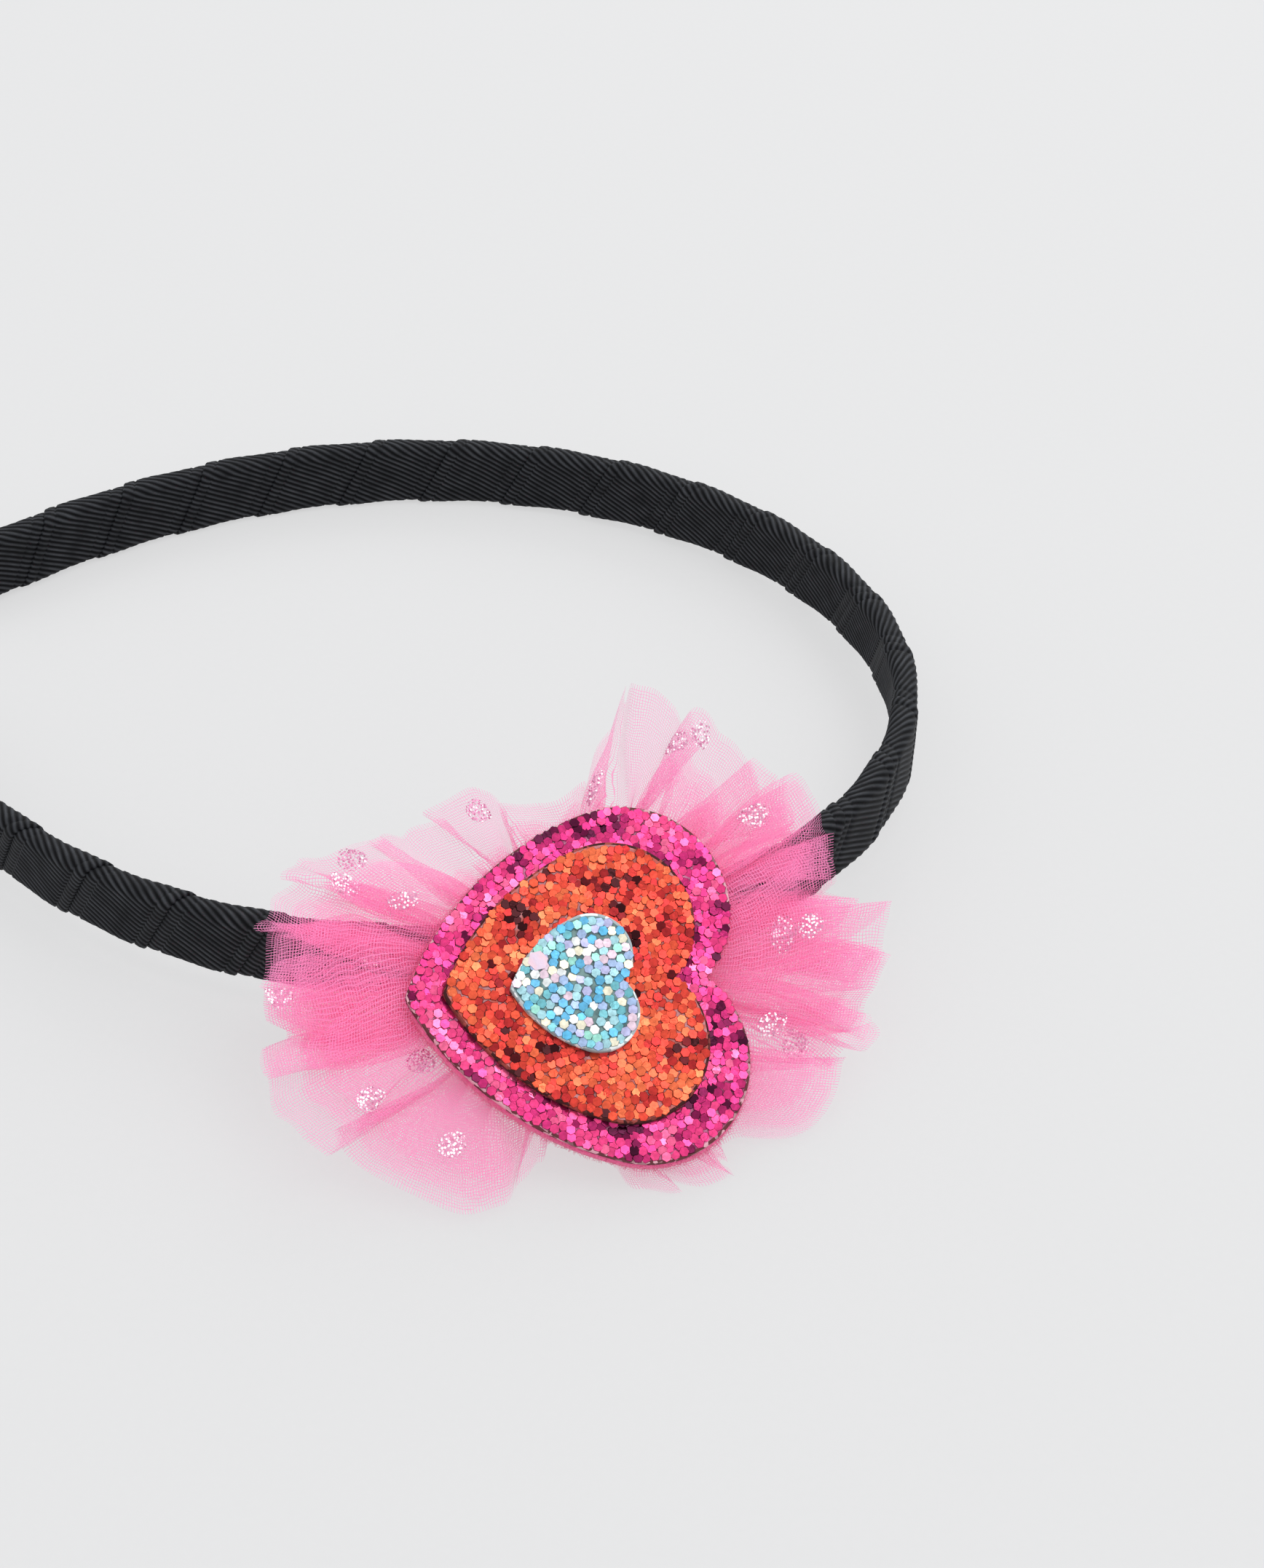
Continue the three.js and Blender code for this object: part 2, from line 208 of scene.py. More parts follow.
# Where the ribs begin and end across the ribbon and how they fade out, and the low ribs on its woven edge
RIBBED_FROM, RIBBED_TO, RIB_FADE = 1.8, 10.3, 0.3
EDGE_MIDDLE, EDGE_HALF, EDGE_RIBS = 0.9, 0.7, 0.35
# The ribbon's black, and the lighter grey painted on its rib crests as a sheen
RIBBON_BLACK, RIBBON_CREST_SHEEN = (0.002, 0.0021, 0.0028, 1), (0.074, 0.078, 0.087, 1)
WARP_PITCH, WARP_DEPTH = 0.24, 0.02


def bend_arm():
    """Centreline of one arm from the crown, a step a millimetre: places and headings."""
    along = np.arange(BAND_HALF_LENGTH + ARM_SPARE)
    bend = np.interp(along[:-1] + 0.5, ARM_BEND["along"], 1 / np.array(ARM_BEND["radius"]))
    heading = np.concatenate(([0], np.cumsum(bend)))
    middle = heading[:-1] + bend / 2
    x = np.concatenate(([0], -np.cumsum(np.sin(middle))))
    y = np.concatenate(([0], np.cumsum(np.cos(middle))))
    return along, x, y, heading


arm = bend_arm()


def loop_frame(along):
    """Centreline points and the way out of the loop; along is below zero on the arm with the heart."""
    distance, side = np.abs(along), np.where(along < 0, -1, 1)
    x, y, heading = (np.interp(distance, arm[0], column) for column in arm[1:])
    return x, side * y, np.cos(heading), side * np.sin(heading)


def band_section(girth):
    """Points of the strip's section and their outward direction, up the inner face first."""
    flat, high, quarter = BAND_FLAT, BAND_UPRIGHT, BAND_CORNER * math.pi / 2
    turns = (  # length of each stretch, and the corner's middle and direction at its end
        (0, -flat, 0, 180), (high, -flat, high, 180), (quarter, -flat, high, 90), (2 * flat, flat, high, 90),
        (quarter, flat, high, 0), (2 * high, flat, -high, 0), (quarter, flat, -high, -90),
        (2 * flat, -flat, -high, -90), (quarter, -flat, -high, -180), (high, -flat, 0, -180),
    )
    reached = np.cumsum([row[0] for row in turns])
    girth = girth % reached[-1]
    out, up, angle = (np.interp(girth, reached, [row[column] for row in turns]) for column in (1, 2, 3))
    outward, upward = np.cos(np.radians(angle)), np.sin(np.radians(angle))
    return out + BAND_CORNER * outward, up + BAND_CORNER * upward, outward, upward


def grid_faces(rows, columns):
    """Faces of a grid of points, row by row."""
    row, column = np.meshgrid(np.arange(rows - 1), np.arange(columns - 1), indexing="ij")
    here, after = row * columns + column, (row + 1) * columns + column
    return np.stack((here, here + 1, after + 1, after), axis=-1).reshape(-1, 4)


def ribbon_mesh():
    """Points of the wound ribbon, row after row across it, with the run and the place across of each."""
    turn_length = math.hypot(WRAP_PITCH, BAND_GIRTH)
    turns = BAND_LENGTH / WRAP_PITCH + 1
    run = np.arange(-turn_length, turns * turn_length, RIB_PITCH / RIB_STEPS)
    run, across = (part.ravel() for part in np.meshgrid(run, RIBBON_ACROSS, indexing="ij"))
    height = np.interp(across, RIBBON_ACROSS, RIBBON_HEIGHT)
    wanted = (run * WRAP_PITCH + across * BAND_GIRTH) / turn_length
    done = np.clip(wanted, -TIP_DOME, BAND_LENGTH + TIP_DOME)
    inside = np.minimum(done, BAND_LENGTH - done)
    taper = TIP_SCALE + (1 - TIP_SCALE) * np.sqrt(1 - (1 - np.clip(inside / TIP_LENGTH, 0, 1)) ** 2)
    dome = TIP_SCALE * np.sqrt(np.clip(1 - (inside / TIP_DOME) ** 2, 0, 1))
    size = np.where(inside < 0, dome, taper)
    out, up, outward, upward = band_section((run * BAND_GIRTH - across * WRAP_PITCH) / turn_length)
    x, y, out_x, out_y = loop_frame(BAND_HALF_LENGTH - np.clip(done, 0, BAND_LENGTH))
    # Beyond the tips the dome runs straight on along the arm
    past = np.where(inside < 0, inside, 0) * np.where(done < BAND_HALF_LENGTH, 1, -1)
    sideways = size * (out + height * outward)
    x, y = x + out_x * sideways + out_y * past, y + out_y * sideways - out_x * past
    z = BAND_HEIGHT / 2 + WRAP_LIFT + size * (up + height * upward)
    faces = grid_faces(len(run) // len(RIBBON_ACROSS), len(RIBBON_ACROSS))
    ended = wanted != done
    return np.stack((x, y, z), axis=-1), faces[~ended[faces].all(axis=1)], run, across


def set_uv(piece, name, u, v):
    """Gives a mesh a UV map from one value a point."""
    mesh = piece.data
    corner_points = np.empty(len(mesh.loops), dtype=np.int32)
    mesh.loops.foreach_get("vertex_index", corner_points)
    layer = mesh.uv_layers.new(name=name)
    layer.data.foreach_set("uv", np.stack((u[corner_points], v[corner_points]), axis=-1).ravel())


def set_number(piece, name, values):
    """Gives a mesh one named number a point."""
    piece.data.attributes.new(name, "FLOAT", "POINT").data.foreach_set("value", values.astype(np.float32))


def maths(tree, operation, *values, **settings):
    """What a Math node makes of its values."""
    return out_of(tree, "ShaderNodeMath", dict(enumerate(values)), operation=operation, **settings)


def scaled(tree, vector, size):
    """A vector made so many times as long."""
    return out_of(tree, "ShaderNodeVectorMath", {0: vector, 3: size}, operation="SCALE")


def bump(tree, height, depth, strength=1.0):
    """A surface direction that follows small heights, to a depth in millimetres."""
    inputs = {"Height": height, "Distance": depth * MM, "Strength": strength}
    return out_of(tree, "ShaderNodeBump", inputs)


def ribbon_material():
    """Black grosgrain: fine threads along the ribbon, and rib crests painted lighter grey in places as sheen.
    """
    material, tree, shader = new_material("black_grosgrain")
    measure = out_of(tree, "ShaderNodeUVMap", uv_map="ribbon")
    run, across, _ = add(tree, "ShaderNodeSeparateXYZ", {0: measure}).outputs
    weave = maths(tree, "SINE", maths(tree, "MULTIPLY", across, math.tau / WARP_PITCH))
    cloudy = noise(tree, measure, scale=0.35, detail=4.0)
    crest = maths(tree, "SINE", maths(tree, "MULTIPLY", run, math.pi / RIB_PITCH))
    crest = maths(tree, "POWER", maths(tree, "ABSOLUTE", crest), RIB_SHARPNESS)
    # Rib crests are painted lighter grey in cloudy patches, a painted sheen where the ribs catch the light
    sheen_and_wear = maths(tree, "MULTIPLY", crest, cloudy)
    feed(tree, shader, {
        "Base Color": blend(tree, sheen_and_wear, RIBBON_BLACK, RIBBON_CREST_SHEEN),
        "Roughness": ranged(tree, cloudy, to_low=0.45, to_high=0.65),
        "Normal": bump(tree, weave, WARP_DEPTH, strength=0.25),
        "Specular IOR Level": 0.07,
    })
    return material


def node_group(name, sizes):
    """A Geometry Nodes tree, the sockets of its geometry and named sizes, and the one for its result."""
    group = bpy.data.node_groups.new(name, "GeometryNodeTree")
    group.interface.new_socket("Geometry", in_out="INPUT", socket_type="NodeSocketGeometry")
    for size in sizes:
        group.interface.new_socket(size, in_out="INPUT", socket_type="NodeSocketFloat")
    group.interface.new_socket("Geometry", in_out="OUTPUT", socket_type="NodeSocketGeometry")
    return group, add(group, "NodeGroupInput").outputs, add(group, "NodeGroupOutput").inputs["Geometry"]


def named(group, name, kind="FLOAT"):
    """The values of that name that a mesh brings with it."""
    return out_of(group, "GeometryNodeInputNamedAttribute", {"Name": name}, data_type=kind)


def close_group(group, geometry, material, result):
    """Ends a Geometry Nodes tree: instances become a plain mesh and get their material."""
    whole = out_of(group, "GeometryNodeRealizeInstances", {"Geometry": geometry})
    coloured = out_of(group, "GeometryNodeSetMaterial", {"Geometry": whole, "Material": material})
    group.links.new(coloured, result)
    return group


def rib_group(material):
    """Raises the cross ribs out of the ribbon along its run, where rib_share lets them."""
    group, given, result = node_group("raise_ribs", ("Rib pitch", "Rib height"))
    phase = maths(group, "DIVIDE", named(group, "ribbon_run"), given["Rib pitch"])
    wave = maths(group, "SINE", maths(group, "MULTIPLY", phase, math.pi))
    height = maths(group, "MULTIPLY", maths(group, "ABSOLUTE", wave), given["Rib height"])
    height = maths(group, "MULTIPLY", height, named(group, "rib_share"))
    offset = scaled(group, out_of(group, "GeometryNodeInputNormal"), height)
    raised = out_of(group, "GeometryNodeSetPosition", {"Geometry": given["Geometry"], "Offset": offset})
    return close_group(group, raised, material, result)


def grow(piece, group, sizes):
    """Runs a Geometry Nodes tree on a piece and keeps the result as its plain mesh."""
    modifier = piece.modifiers.new(group.name, "NODES")
    modifier.node_group = group
    for socket in group.interface.items_tree:
        if socket.in_out == "INPUT" and socket.name in sizes:
            modifier[socket.identifier] = float(sizes[socket.name])
    depsgraph = bpy.context.evaluated_depsgraph_get()
    before = piece.data
    piece.data = bpy.data.meshes.new_from_object(
        piece.evaluated_get(depsgraph), preserve_all_data_layers=True, depsgraph=depsgraph
    )
    piece.modifiers.remove(modifier)
    bpy.data.meshes.remove(before)
    piece.data.name = piece.name


raise_axis = Vector((-math.cos(RAISE_FROM), -math.sin(RAISE_FROM), 0))
loop_turn = Matrix.Rotation(LOOP_RAISE, 3, raise_axis) @ Matrix.Rotation(LOOP_TURN, 3, "Z")
points, faces, run, across = ribbon_mesh()
grosgrain = ribbon_material()
ribbon = mesh_object("ribbon_winding", points @ np.array(loop_turn).T + LOOP_CROWN, faces, grosgrain)
set_uv(ribbon, "ribbon", run, across)
set_number(ribbon, "ribbon_run", run)
ribbed = np.clip(np.minimum(across - RIBBED_FROM, RIBBED_TO - across) / RIB_FADE, 0, 1)
edge_ribs = EDGE_RIBS * (np.abs(across - EDGE_MIDDLE) < EDGE_HALF)
set_number(ribbon, "rib_share", np.maximum(ribbed, edge_ribs))
grow(ribbon, rib_group(grosgrain), {"Rib pitch": RIB_PITCH, "Rib height": RIB_HEIGHT * MM})
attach(ribbon, "root")
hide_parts("ribbon_band")


# Tulle ruffle. A strip of sheer pink net is gathered along one edge into a rosette and glued to the outer
# face of the arm. Its pleats lap over each other under the heart, and the lowest ones lie on the table.
# Where the back of the felt is, how the motif leans and turns, and its place along the band from the crown
MOTIF_BACK = (28.6719, -54.5059, 15.3979)
MOTIF_TILT, MOTIF_TURN, MOTIF_ALONG = math.radians(31.3), math.radians(19.6), -71.8
ROOT_X, ROOT_Y, ROOT_RADIUS, ROOT_BACK = 0, 3, 6.5, 0.15
# The net dips behind its root so deep, within this share of its reach, and the lift of a pleat grows
# towards the cut edge by this power
TULLE_DEPTH, TULLE_DIP, TULLE_SWELL = 2.5, 0.14, 2.0
# The strip laps over itself, so there are three layers: reach as a share of the pleats' where they are
# least and most full, height in front of the back layer, turn round the root, rings of the mesh, and seed
LAYERS = (
    {"least": 1.0, "most": 1.0, "front": 0.0, "turn": 0, "rings": 38, "seed": 11},
    {"least": 0.5, "most": 0.97, "front": 0.7, "turn": 5, "rings": 34, "seed": 29},
    {"least": 0.45, "most": 0.9, "front": 1.4, "turn": -4, "rings": 30, "seed": 47},
)
# Pleats, anticlockwise as the heart is faced: angle round the root and reach of the cut edge where each
# begins, in its middle and where it ends, then the lift of its edge towards the viewer, its tuck under
# itself in degrees, how full it is of gathers, and how far the front layers double it
PLEATS = (
    ((-62, 32), (-47.5, 38), (-32.5, 38.6), 1.5, 4, 1, 1),
    ((-31.5, 38.8), (-28.5, 41.8), (-22.5, 41), 3, 3, 1, 1),
    ((-20, 40.6), (-16, 42.6), (-13.5, 42.8), 3.5, 2.5, 1, 1),
    ((-12.5, 41.2), (-8.5, 43.2), (-3, 44.2), 4.5, 3, 0.85, 0.85),
    ((-3, 39.4), (0, 38.2), (4, 36.4), 1.5, 2.5, 0.9, 0.9),
    ((3.5, 38.4), (8, 38.6), (10.5, 40.6), 4, 6, 0.9, 0.9),
    ((15.5, 40.2), (20, 40.8), (24, 40.8), 4.5, 7, 1, 1),
    ((26, 38.6), (28.5, 39.8), (33, 39.4), 2, 5, 0.6, 0.6),
    ((35.5, 38.6), (42, 39), (47, 40), 4.5, 4, 0.7, 0.7),
    ((49, 38.6), (55, 40.2), (61, 41.2), 3, -0.3, 0.12, 0.12),
    ((61.6, 40.6), (64, 34.6), (66.5, 30.4), 2.5, 0, 0.3, 0.3),
    ((69, 26.6), (81.5, 22.8), (93.5, 24.4), 0, 2, 0.8, 0.8),
    ((96, 25.2), (103, 27.6), (117.5, 27.6), 1.5, 5, 0.35, 0.35),
    ((122.5, 27.6), (127.5, 29.4), (132.5, 31), 1, 4, 0.4, 0.4),
    ((137.5, 34), (144, 37.6), (150.5, 38.8), 3.5, 5, 0.8, 0.8),
    ((152.5, 39.2), (157.5, 39.8), (161.5, 40.6), 3, 4, 0.9, 0.9),
    ((165, 39.6), (169.5, 39.8), (173, 40), 4, 7, 1.7, 1),
    ((174.5, 39.2), (177.5, 38), (180, 35.6), 1.5, 6, 1.8, 1),
    ((182, 38.6), (183.5, 41.6), (187.5, 42), 4.5, 6, 0.8, 0.8),
    ((191, 42.2), (197, 41.8), (203.5, 39.8), 3.5, 4, 0.5, 0.85),
    ((208, 37.8), (231, 35.4), (239.5, 32.8), 1.5, 0, 0.4, 0.95),
    ((241.5, 30.2), (243.5, 28), (246, 25.2), 1.5, 0, 0.5, 0.5),
    ((247.5, 23.8), (255, 23.4), (263.5, 25.4), 0, 0, 0.5, 0.5),
    ((267.5, 27.4), (271.5, 31.4), (281, 34.2), 0.8, 3, 0.9, 0.9),
    ((284.5, 35.2), (289, 35.4), (293.5, 35), 1.2, 3, 0.9, 0.9),
)
# Mesh steps between the points of a pleat, its sway halfway to the edge in degrees, and the least and most
# of its fold that it has there
PLEAT_STEPS, PLEAT_SWAY, OPEN_LEAST, OPEN_MOST = 8, 1.3, 0.3, 1.0
# The valley after a pleat: how far it is drawn in, its height, and the share of the pleats' lift it has
VALLEY_DRAWN, VALLEY_HEIGHT, VALLEY_LIFT = 1.2, -1.5, 1 / 3
# The share of its lift that a pleat has where it begins and where it ends
BEGIN_LIFT, END_LIFT = 0.5, 0.8
# A pleat bulges where it begins, in its middle, where it ends and in the valley after it
BULGE_HEIGHT, BULGE_LEAST, BULGE_MOST, BULGE_ACROSS = 0.7, 0.4, 1.6, (-0.3, 1, 0.4, -1)
# Fine gathers, strongest under the heart's rim: waves round the ruffle, how far each folds over in degrees,
# its height, its start and how it drifts from the root to the cut edge
GATHERS = (
    {"waves": 23, "fold": 8.0, "height": 0.8, "start": 2.2, "drift": 1.4},
    {"waves": 49, "fold": 2.4, "height": 0.5, "start": 1.3, "drift": -2.1},
    {"waves": 83, "fold": 1.1, "height": 0.3, "start": 4.1, "drift": 2.7},
)
# What is left of the gathers at the cut edge, and from where to where on the way a fuller pleat has more
GATHER_AT_EDGE, FULL_FROM, FULL_TO = 0.25, 0.4, 0.75
# The gathers stand unevenly: by how much, in how many waves round the ruffle, and how each one starts
WANDER_TURN, WANDER_WAVES, WANDER_START = 1.2, 7, 3
# The cut edge wavers by so much, in so many waves round the ruffle
EDGE_WAVER = ((0.3, 61), (0.2, 103))
# On the table: height of the lowest net, how softly net comes down to it, and what a lifted pleat adds
TABLE_CLEAR, TABLE_EASE, TABLE_LAYERS = 0.3, 1.0, 0.3
# The neck: rings and columns of its mesh, gathers round it and their depth as a share, then its radius
# behind the ruffle, half its width and height at the band, and how far it bows back between them
NECK_RINGS, NECK_COLUMNS, NECK_GATHERS, NECK_FOLD = 9, 216, 36, 0.08
NECK_FRONT, NECK_BACK_WIDE, NECK_BACK_TALL, NECK_BOW = 9.5, 7.2, 4.0, 5.0
# How drawn the net is: its least and most, how many steps to each side it is evened out over, the shortest
# step that counts, and the neck's, with the cloth there is between two of its points
DRAWN_LEAST, DRAWN_MOST, DRAWN_EVENED, STEP_LEAST, NECK_DRAWN, NECK_CLOTH = 0.2, 1.2, 4, 0.02, 0.25, 1.4
CLOTH_APART = 1000
# The net: pitch of its threads and half their width as a share of it, how far they wander, the length of
# the fringe at the cut edge, and the least width that counts
NET_PITCH, NET_THREAD, NET_WANDER, NET_FRAY, THREAD_LEAST = 0.37, 0.15, 1.2, 1.1, 0.001
NET_PINK, NET_DEEP, NET_GLOW = (1.0, 0.38, 0.655, 1), (1.0, 0.26, 0.54, 1), 0.3

motif_turn = Matrix.Rotation(MOTIF_TURN, 3, "Z") @ Matrix.Rotation(MOTIF_TILT, 3, "X")


def on_motif(points):
    """Points of the motif, x along the heart and z towards the viewer from the felt's back, in the part."""
    return np.asarray(points) @ np.array(motif_turn).T + MOTIF_BACK


def smooth_loop(points, steps):
    """A smooth closed curve through the rows of an array, with so many steps from one row to the next."""
    share = (np.arange(steps) / steps)[None, :, None]
    before, here, after, next_one = (np.roll(points, shift, axis=0)[:, None, :] for shift in (1, 0, -1, -2))
    slope_in, slope_out = (after - before) / 2, (next_one - here) / 2
    rise = 3 * share**2 - 2 * share**3
    curve = here + (after - here) * rise
    curve = curve + slope_in * (share - 2 * share**2 + share**3) + slope_out * (share**3 - share**2)
    return curve.reshape(-1, points.shape[1])


def pleat_curves(seed):
    """Along the ruffle: angles at root, halfway and cut edge, reach, lift, bulge, fullness and doubling."""
    chance = np.random.default_rng(seed)
    rows = []
    for pleat, following in zip(PLEATS, PLEATS[1:] + PLEATS[:1]):
        begin, middle, end, lift, tuck, full, doubled = pleat
        next_begin, next_lift = following[0], following[3]
        turn = (next_begin[0] - begin[0]) % 360
        valley_reach = min(end[1], next_begin[1]) - VALLEY_DRAWN
        valley_height = VALLEY_HEIGHT + VALLEY_LIFT * min(lift, next_lift)
        edge = (
            (*begin, BEGIN_LIFT * lift), (*middle, lift), (*end, END_LIFT * lift),
            (end[0] - tuck, valley_reach, valley_height),
        )
        opened = chance.uniform(OPEN_LEAST, OPEN_MOST)
        sway = chance.normal(0, PLEAT_SWAY)
        bulges = BULGE_HEIGHT * chance.uniform(BULGE_LEAST, BULGE_MOST, len(edge)) * BULGE_ACROSS
        for place, (angle, reach, height) in enumerate(edge):
            even = begin[0] + turn * place / len(edge)
            halfway = even + (angle - even) * opened + sway
            rows.append((even, halfway, angle, reach, height, bulges[place], full, doubled))
    rows = np.array(rows)
    # An angle is drawn as a drift from an even turn, so that its curve closes
    rows[:, :3] -= np.linspace(0, 360, len(rows), endpoint=False)[:, None]
    curves = smooth_loop(rows, PLEAT_STEPS)
    curves[:, :3] += np.linspace(0, 360, len(curves), endpoint=False)[:, None]
    return curves.T


def lay_on_table(points, lift):
    """Lets what would hang below the table lie on it, higher pleats over lower ones."""
    placed = on_motif(points)
    rest = TABLE_CLEAR + TABLE_LAYERS * np.clip(lift, 0, None)
    placed[..., 2] = rest + TABLE_EASE * np.logaddexp(0, (placed[..., 2] - rest) / TABLE_EASE)
    return placed


def ruffle_points(layer):
    """Rings of points from the root to the cut edge, and their angle, radius and way down from the edge."""
    root, halfway, edge, reach, lift, bulge, full, doubled = pleat_curves(layer["seed"])
    root, halfway = root + layer["turn"], halfway + layer["turn"]
    reach = reach * (layer["least"] + (layer["most"] - layer["least"]) * doubled)
    place = np.arange(len(root)) / len(root) * math.tau
    for waver, waves in EDGE_WAVER:
        reach = reach + waver * np.sin(waves * place + layer["seed"])
    share = np.linspace(0, 1, layer["rings"])[:, None]
    angle = root * (1 - share) ** 2 + halfway * 2 * share * (1 - share) + edge * share**2
    radius = ROOT_RADIUS + (reach - ROOT_RADIUS) * share
    dip = np.clip(share / TULLE_DIP, 0, 1)
    z = -ROOT_BACK - TULLE_DEPTH * dip * dip * (3 - 2 * dip) + lift * share**TULLE_SWELL
    z = z + bulge * np.sin(math.pi * share) ** 2 + layer["front"] * dip
    opened = np.clip((share - FULL_FROM) / (FULL_TO - FULL_FROM), 0, 1)
    drawn = (1 - GATHER_AT_EDGE) * np.sin(math.pi * share) + GATHER_AT_EDGE * share
    drawn = drawn * (1 + (full - 1) * opened)
    for row in GATHERS:
        wander = WANDER_TURN * np.sin(WANDER_WAVES * place + WANDER_START * row["start"])
        phase = row["waves"] * place + row["start"] + row["drift"] * share + wander + layer["seed"]
        angle = angle + row["fold"] * np.sin(phase) * drawn
        z = z + row["height"] * np.cos(phase) * drawn
    turn = np.radians(angle)
    flat = np.stack((ROOT_X + radius * np.cos(turn), ROOT_Y + radius * np.sin(turn), z), axis=-1)
    placed = lay_on_table(flat, lift * share)
    return placed, angle % 360, radius, (1 - share) * (reach - ROOT_RADIUS)


def neck_points():
    """Rings of the gathered root, from behind the ruffle to the outer face of the arm."""
    x, y, out_x, out_y = (float(value) for value in loop_frame(np.array(MOTIF_ALONG)))
    band_middle = BAND_HEIGHT / 2 + WRAP_LIFT
    face = Vector((x + out_x * BAND_THICKNESS / 2, y + out_y * BAND_THICKNESS / 2, band_middle))
    into_motif = motif_turn.transposed()
    seat = np.array(into_motif @ (loop_turn @ face + Vector(LOOP_CROWN) - Vector(MOTIF_BACK)))
    inward = into_motif @ (loop_turn @ Vector((-out_x, -out_y, 0)))
    start = np.array((ROOT_X, ROOT_Y, -TULLE_DEPTH))
    bow = start - (0, 0, NECK_BOW)
    share = np.linspace(0, 1, NECK_RINGS)[:, None, None]
    middle = (1 - share) ** 2 * start + 2 * share * (1 - share) * bow + share**2 * seat
    across, upright = Vector((1, 0, 0)), np.array((0, 1, 0))
    end_up = np.array(inward.cross(across).normalized())
    up = upright * (1 - share) + end_up * math.copysign(1, end_up[1]) * share
    angle = np.arange(NECK_COLUMNS)[None, :, None] / NECK_COLUMNS * math.tau
    fold = 1 + NECK_FOLD * np.sin(NECK_GATHERS * angle)
    wide = (NECK_FRONT + (NECK_BACK_WIDE - NECK_FRONT) * share) * fold
    tall = (NECK_FRONT + (NECK_BACK_TALL - NECK_FRONT) * share) * fold
    return on_motif(middle + wide * np.cos(angle) * np.array(across) + tall * np.sin(angle) * up)


def own_number(tree, name):
    """The number of that name that a piece brings with it."""
    return add(tree, "ShaderNodeAttribute", attribute_name=name).outputs["Fac"]


def show_net(tree, solid, surface):
    """Shows a surface where its solid share is 1, and lets light through where it is 0."""
    clear = out_of(tree, "ShaderNodeBsdfTransparent")
    show(tree, layered(tree, solid, clear, surface))


def net_material():
    """Sheer net: pink threads both ways with open holes between, closer where the cloth is gathered."""
    material, tree, shader = new_material("pink_tulle")
    cloth = scaled(tree, out_of(tree, "ShaderNodeUVMap", uv_map="cloth"), 1 / MM)
    down = add(tree, "ShaderNodeSeparateXYZ", {0: cloth}).outputs[1]
    wander = add(tree, "ShaderNodeTexNoise", {"Vector": cloth, "Scale": 0.22, "Detail": 2.0}).outputs
    shift = scaled(tree, wander["Color"], NET_WANDER)
    place = out_of(tree, "ShaderNodeVectorMath", {0: cloth, 1: shift}, operation="ADD")
    along, across, _ = add(tree, "ShaderNodeSeparateXYZ", {0: scaled(tree, place, 1 / NET_PITCH)}).outputs
    width = maths(tree, "DIVIDE", NET_THREAD, own_number(tree, "gather"))
    # The threads that run along the cut edge have come out of it, and the others stand there as a fringe
    woven = maths(tree, "GREATER_THAN", down, maths(tree, "MULTIPLY", wander["Fac"], NET_FRAY))
    cross_width = maths(tree, "MAXIMUM", maths(tree, "MULTIPLY", NET_THREAD, woven), THREAD_LEAST)
    threads = []
    for side, side_width in ((along, width), (across, cross_width)):
        away = maths(tree, "DIVIDE", maths(tree, "PINGPONG", side, 0.5), side_width)
        threads.append(maths(tree, "SUBTRACT", 1.0, away, use_clamp=True))
    colour = blend(tree, noise(tree, cloth, scale=0.08, detail=3.0), NET_PINK, NET_DEEP)
    feed(tree, shader, {"Base Color": colour, "Roughness": 0.65, "Specular IOR Level": 0.25})
    glow = out_of(tree, "ShaderNodeBsdfTranslucent", {"Color": colour})
    show_net(tree, maths(tree, "MAXIMUM", *threads), layered(tree, NET_GLOW, shader.outputs[0], glow))
    return material


layers = [ruffle_points(layer) for layer in LAYERS]
islands, island_faces, cut_edges, cloth_round, cloth_down, gathers = [], [], [], [], [], []
first = 0
for rings, _, _, down in layers:
    steps = np.linalg.norm(np.roll(rings, -1, axis=1) - rings, axis=-1)
    drawn = steps / np.maximum(steps[-1], STEP_LEAST)
    nearby = range(-DRAWN_EVENED, DRAWN_EVENED + 1)
    drawn = np.mean([np.roll(drawn, shift, axis=1) for shift in nearby], axis=0)
    drawn = np.clip(drawn, DRAWN_LEAST, DRAWN_MOST)
    # The first column is repeated at the end of each ring, so that the cloth's measure runs on to its seam
    rings, down, drawn = (np.concatenate((part, part[:, :1]), axis=1) for part in (rings, down, drawn))
    islands.append(rings.reshape(-1, 3))
    island_faces.append(grid_faces(*rings.shape[:2])[:, ::-1] + first)
    # A layer's measure starts far from the last one's, so that each place of it is on one layer only
    cut_edges.append(len(cut_edges) * CLOTH_APART + np.concatenate(([0], np.cumsum(steps[-1]))))
    cloth_round.append(np.tile(cut_edges[-1], len(rings)))
    cloth_down.append(down.ravel())
    gathers.append(drawn.ravel())
    first += len(islands[-1])
neck = neck_points()
neck = np.concatenate((neck, neck[:, :1]), axis=1)
neck_down, neck_round = np.indices(neck.shape[:2]).reshape(2, -1) * NECK_CLOTH
neck_round = neck_round + len(layers) * CLOTH_APART
islands.append(neck.reshape(-1, 3))
island_faces.append(grid_faces(*neck.shape[:2]) + first)
ruffle = mesh_object("gathered_tulle", np.concatenate(islands), np.concatenate(island_faces), net_material())
cloth_round = np.concatenate((*cloth_round, neck_round))
cloth_down = np.concatenate((*cloth_down, neck_down))
set_uv(ruffle, "cloth", cloth_round * MM, cloth_down * MM)
set_number(ruffle, "gather", np.concatenate((*gathers, np.full(neck_round.shape, NECK_DRAWN))))
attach(ruffle, "root")
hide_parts("tulle_ruffle")


# Dots on the tulle. Round spots of fine silver glitter are printed on the net in a loose pattern. Some
# catch the light and sparkle, and others only show as darker pink rounds. That sparkle and shade are
# painted into each dot's specks, as more silver or more pink ones.
DOT_RADIUS, DOT_THICKNESS, DOT_SIDES, DOT_RINGS = 1.75, 0.2, 20, 3
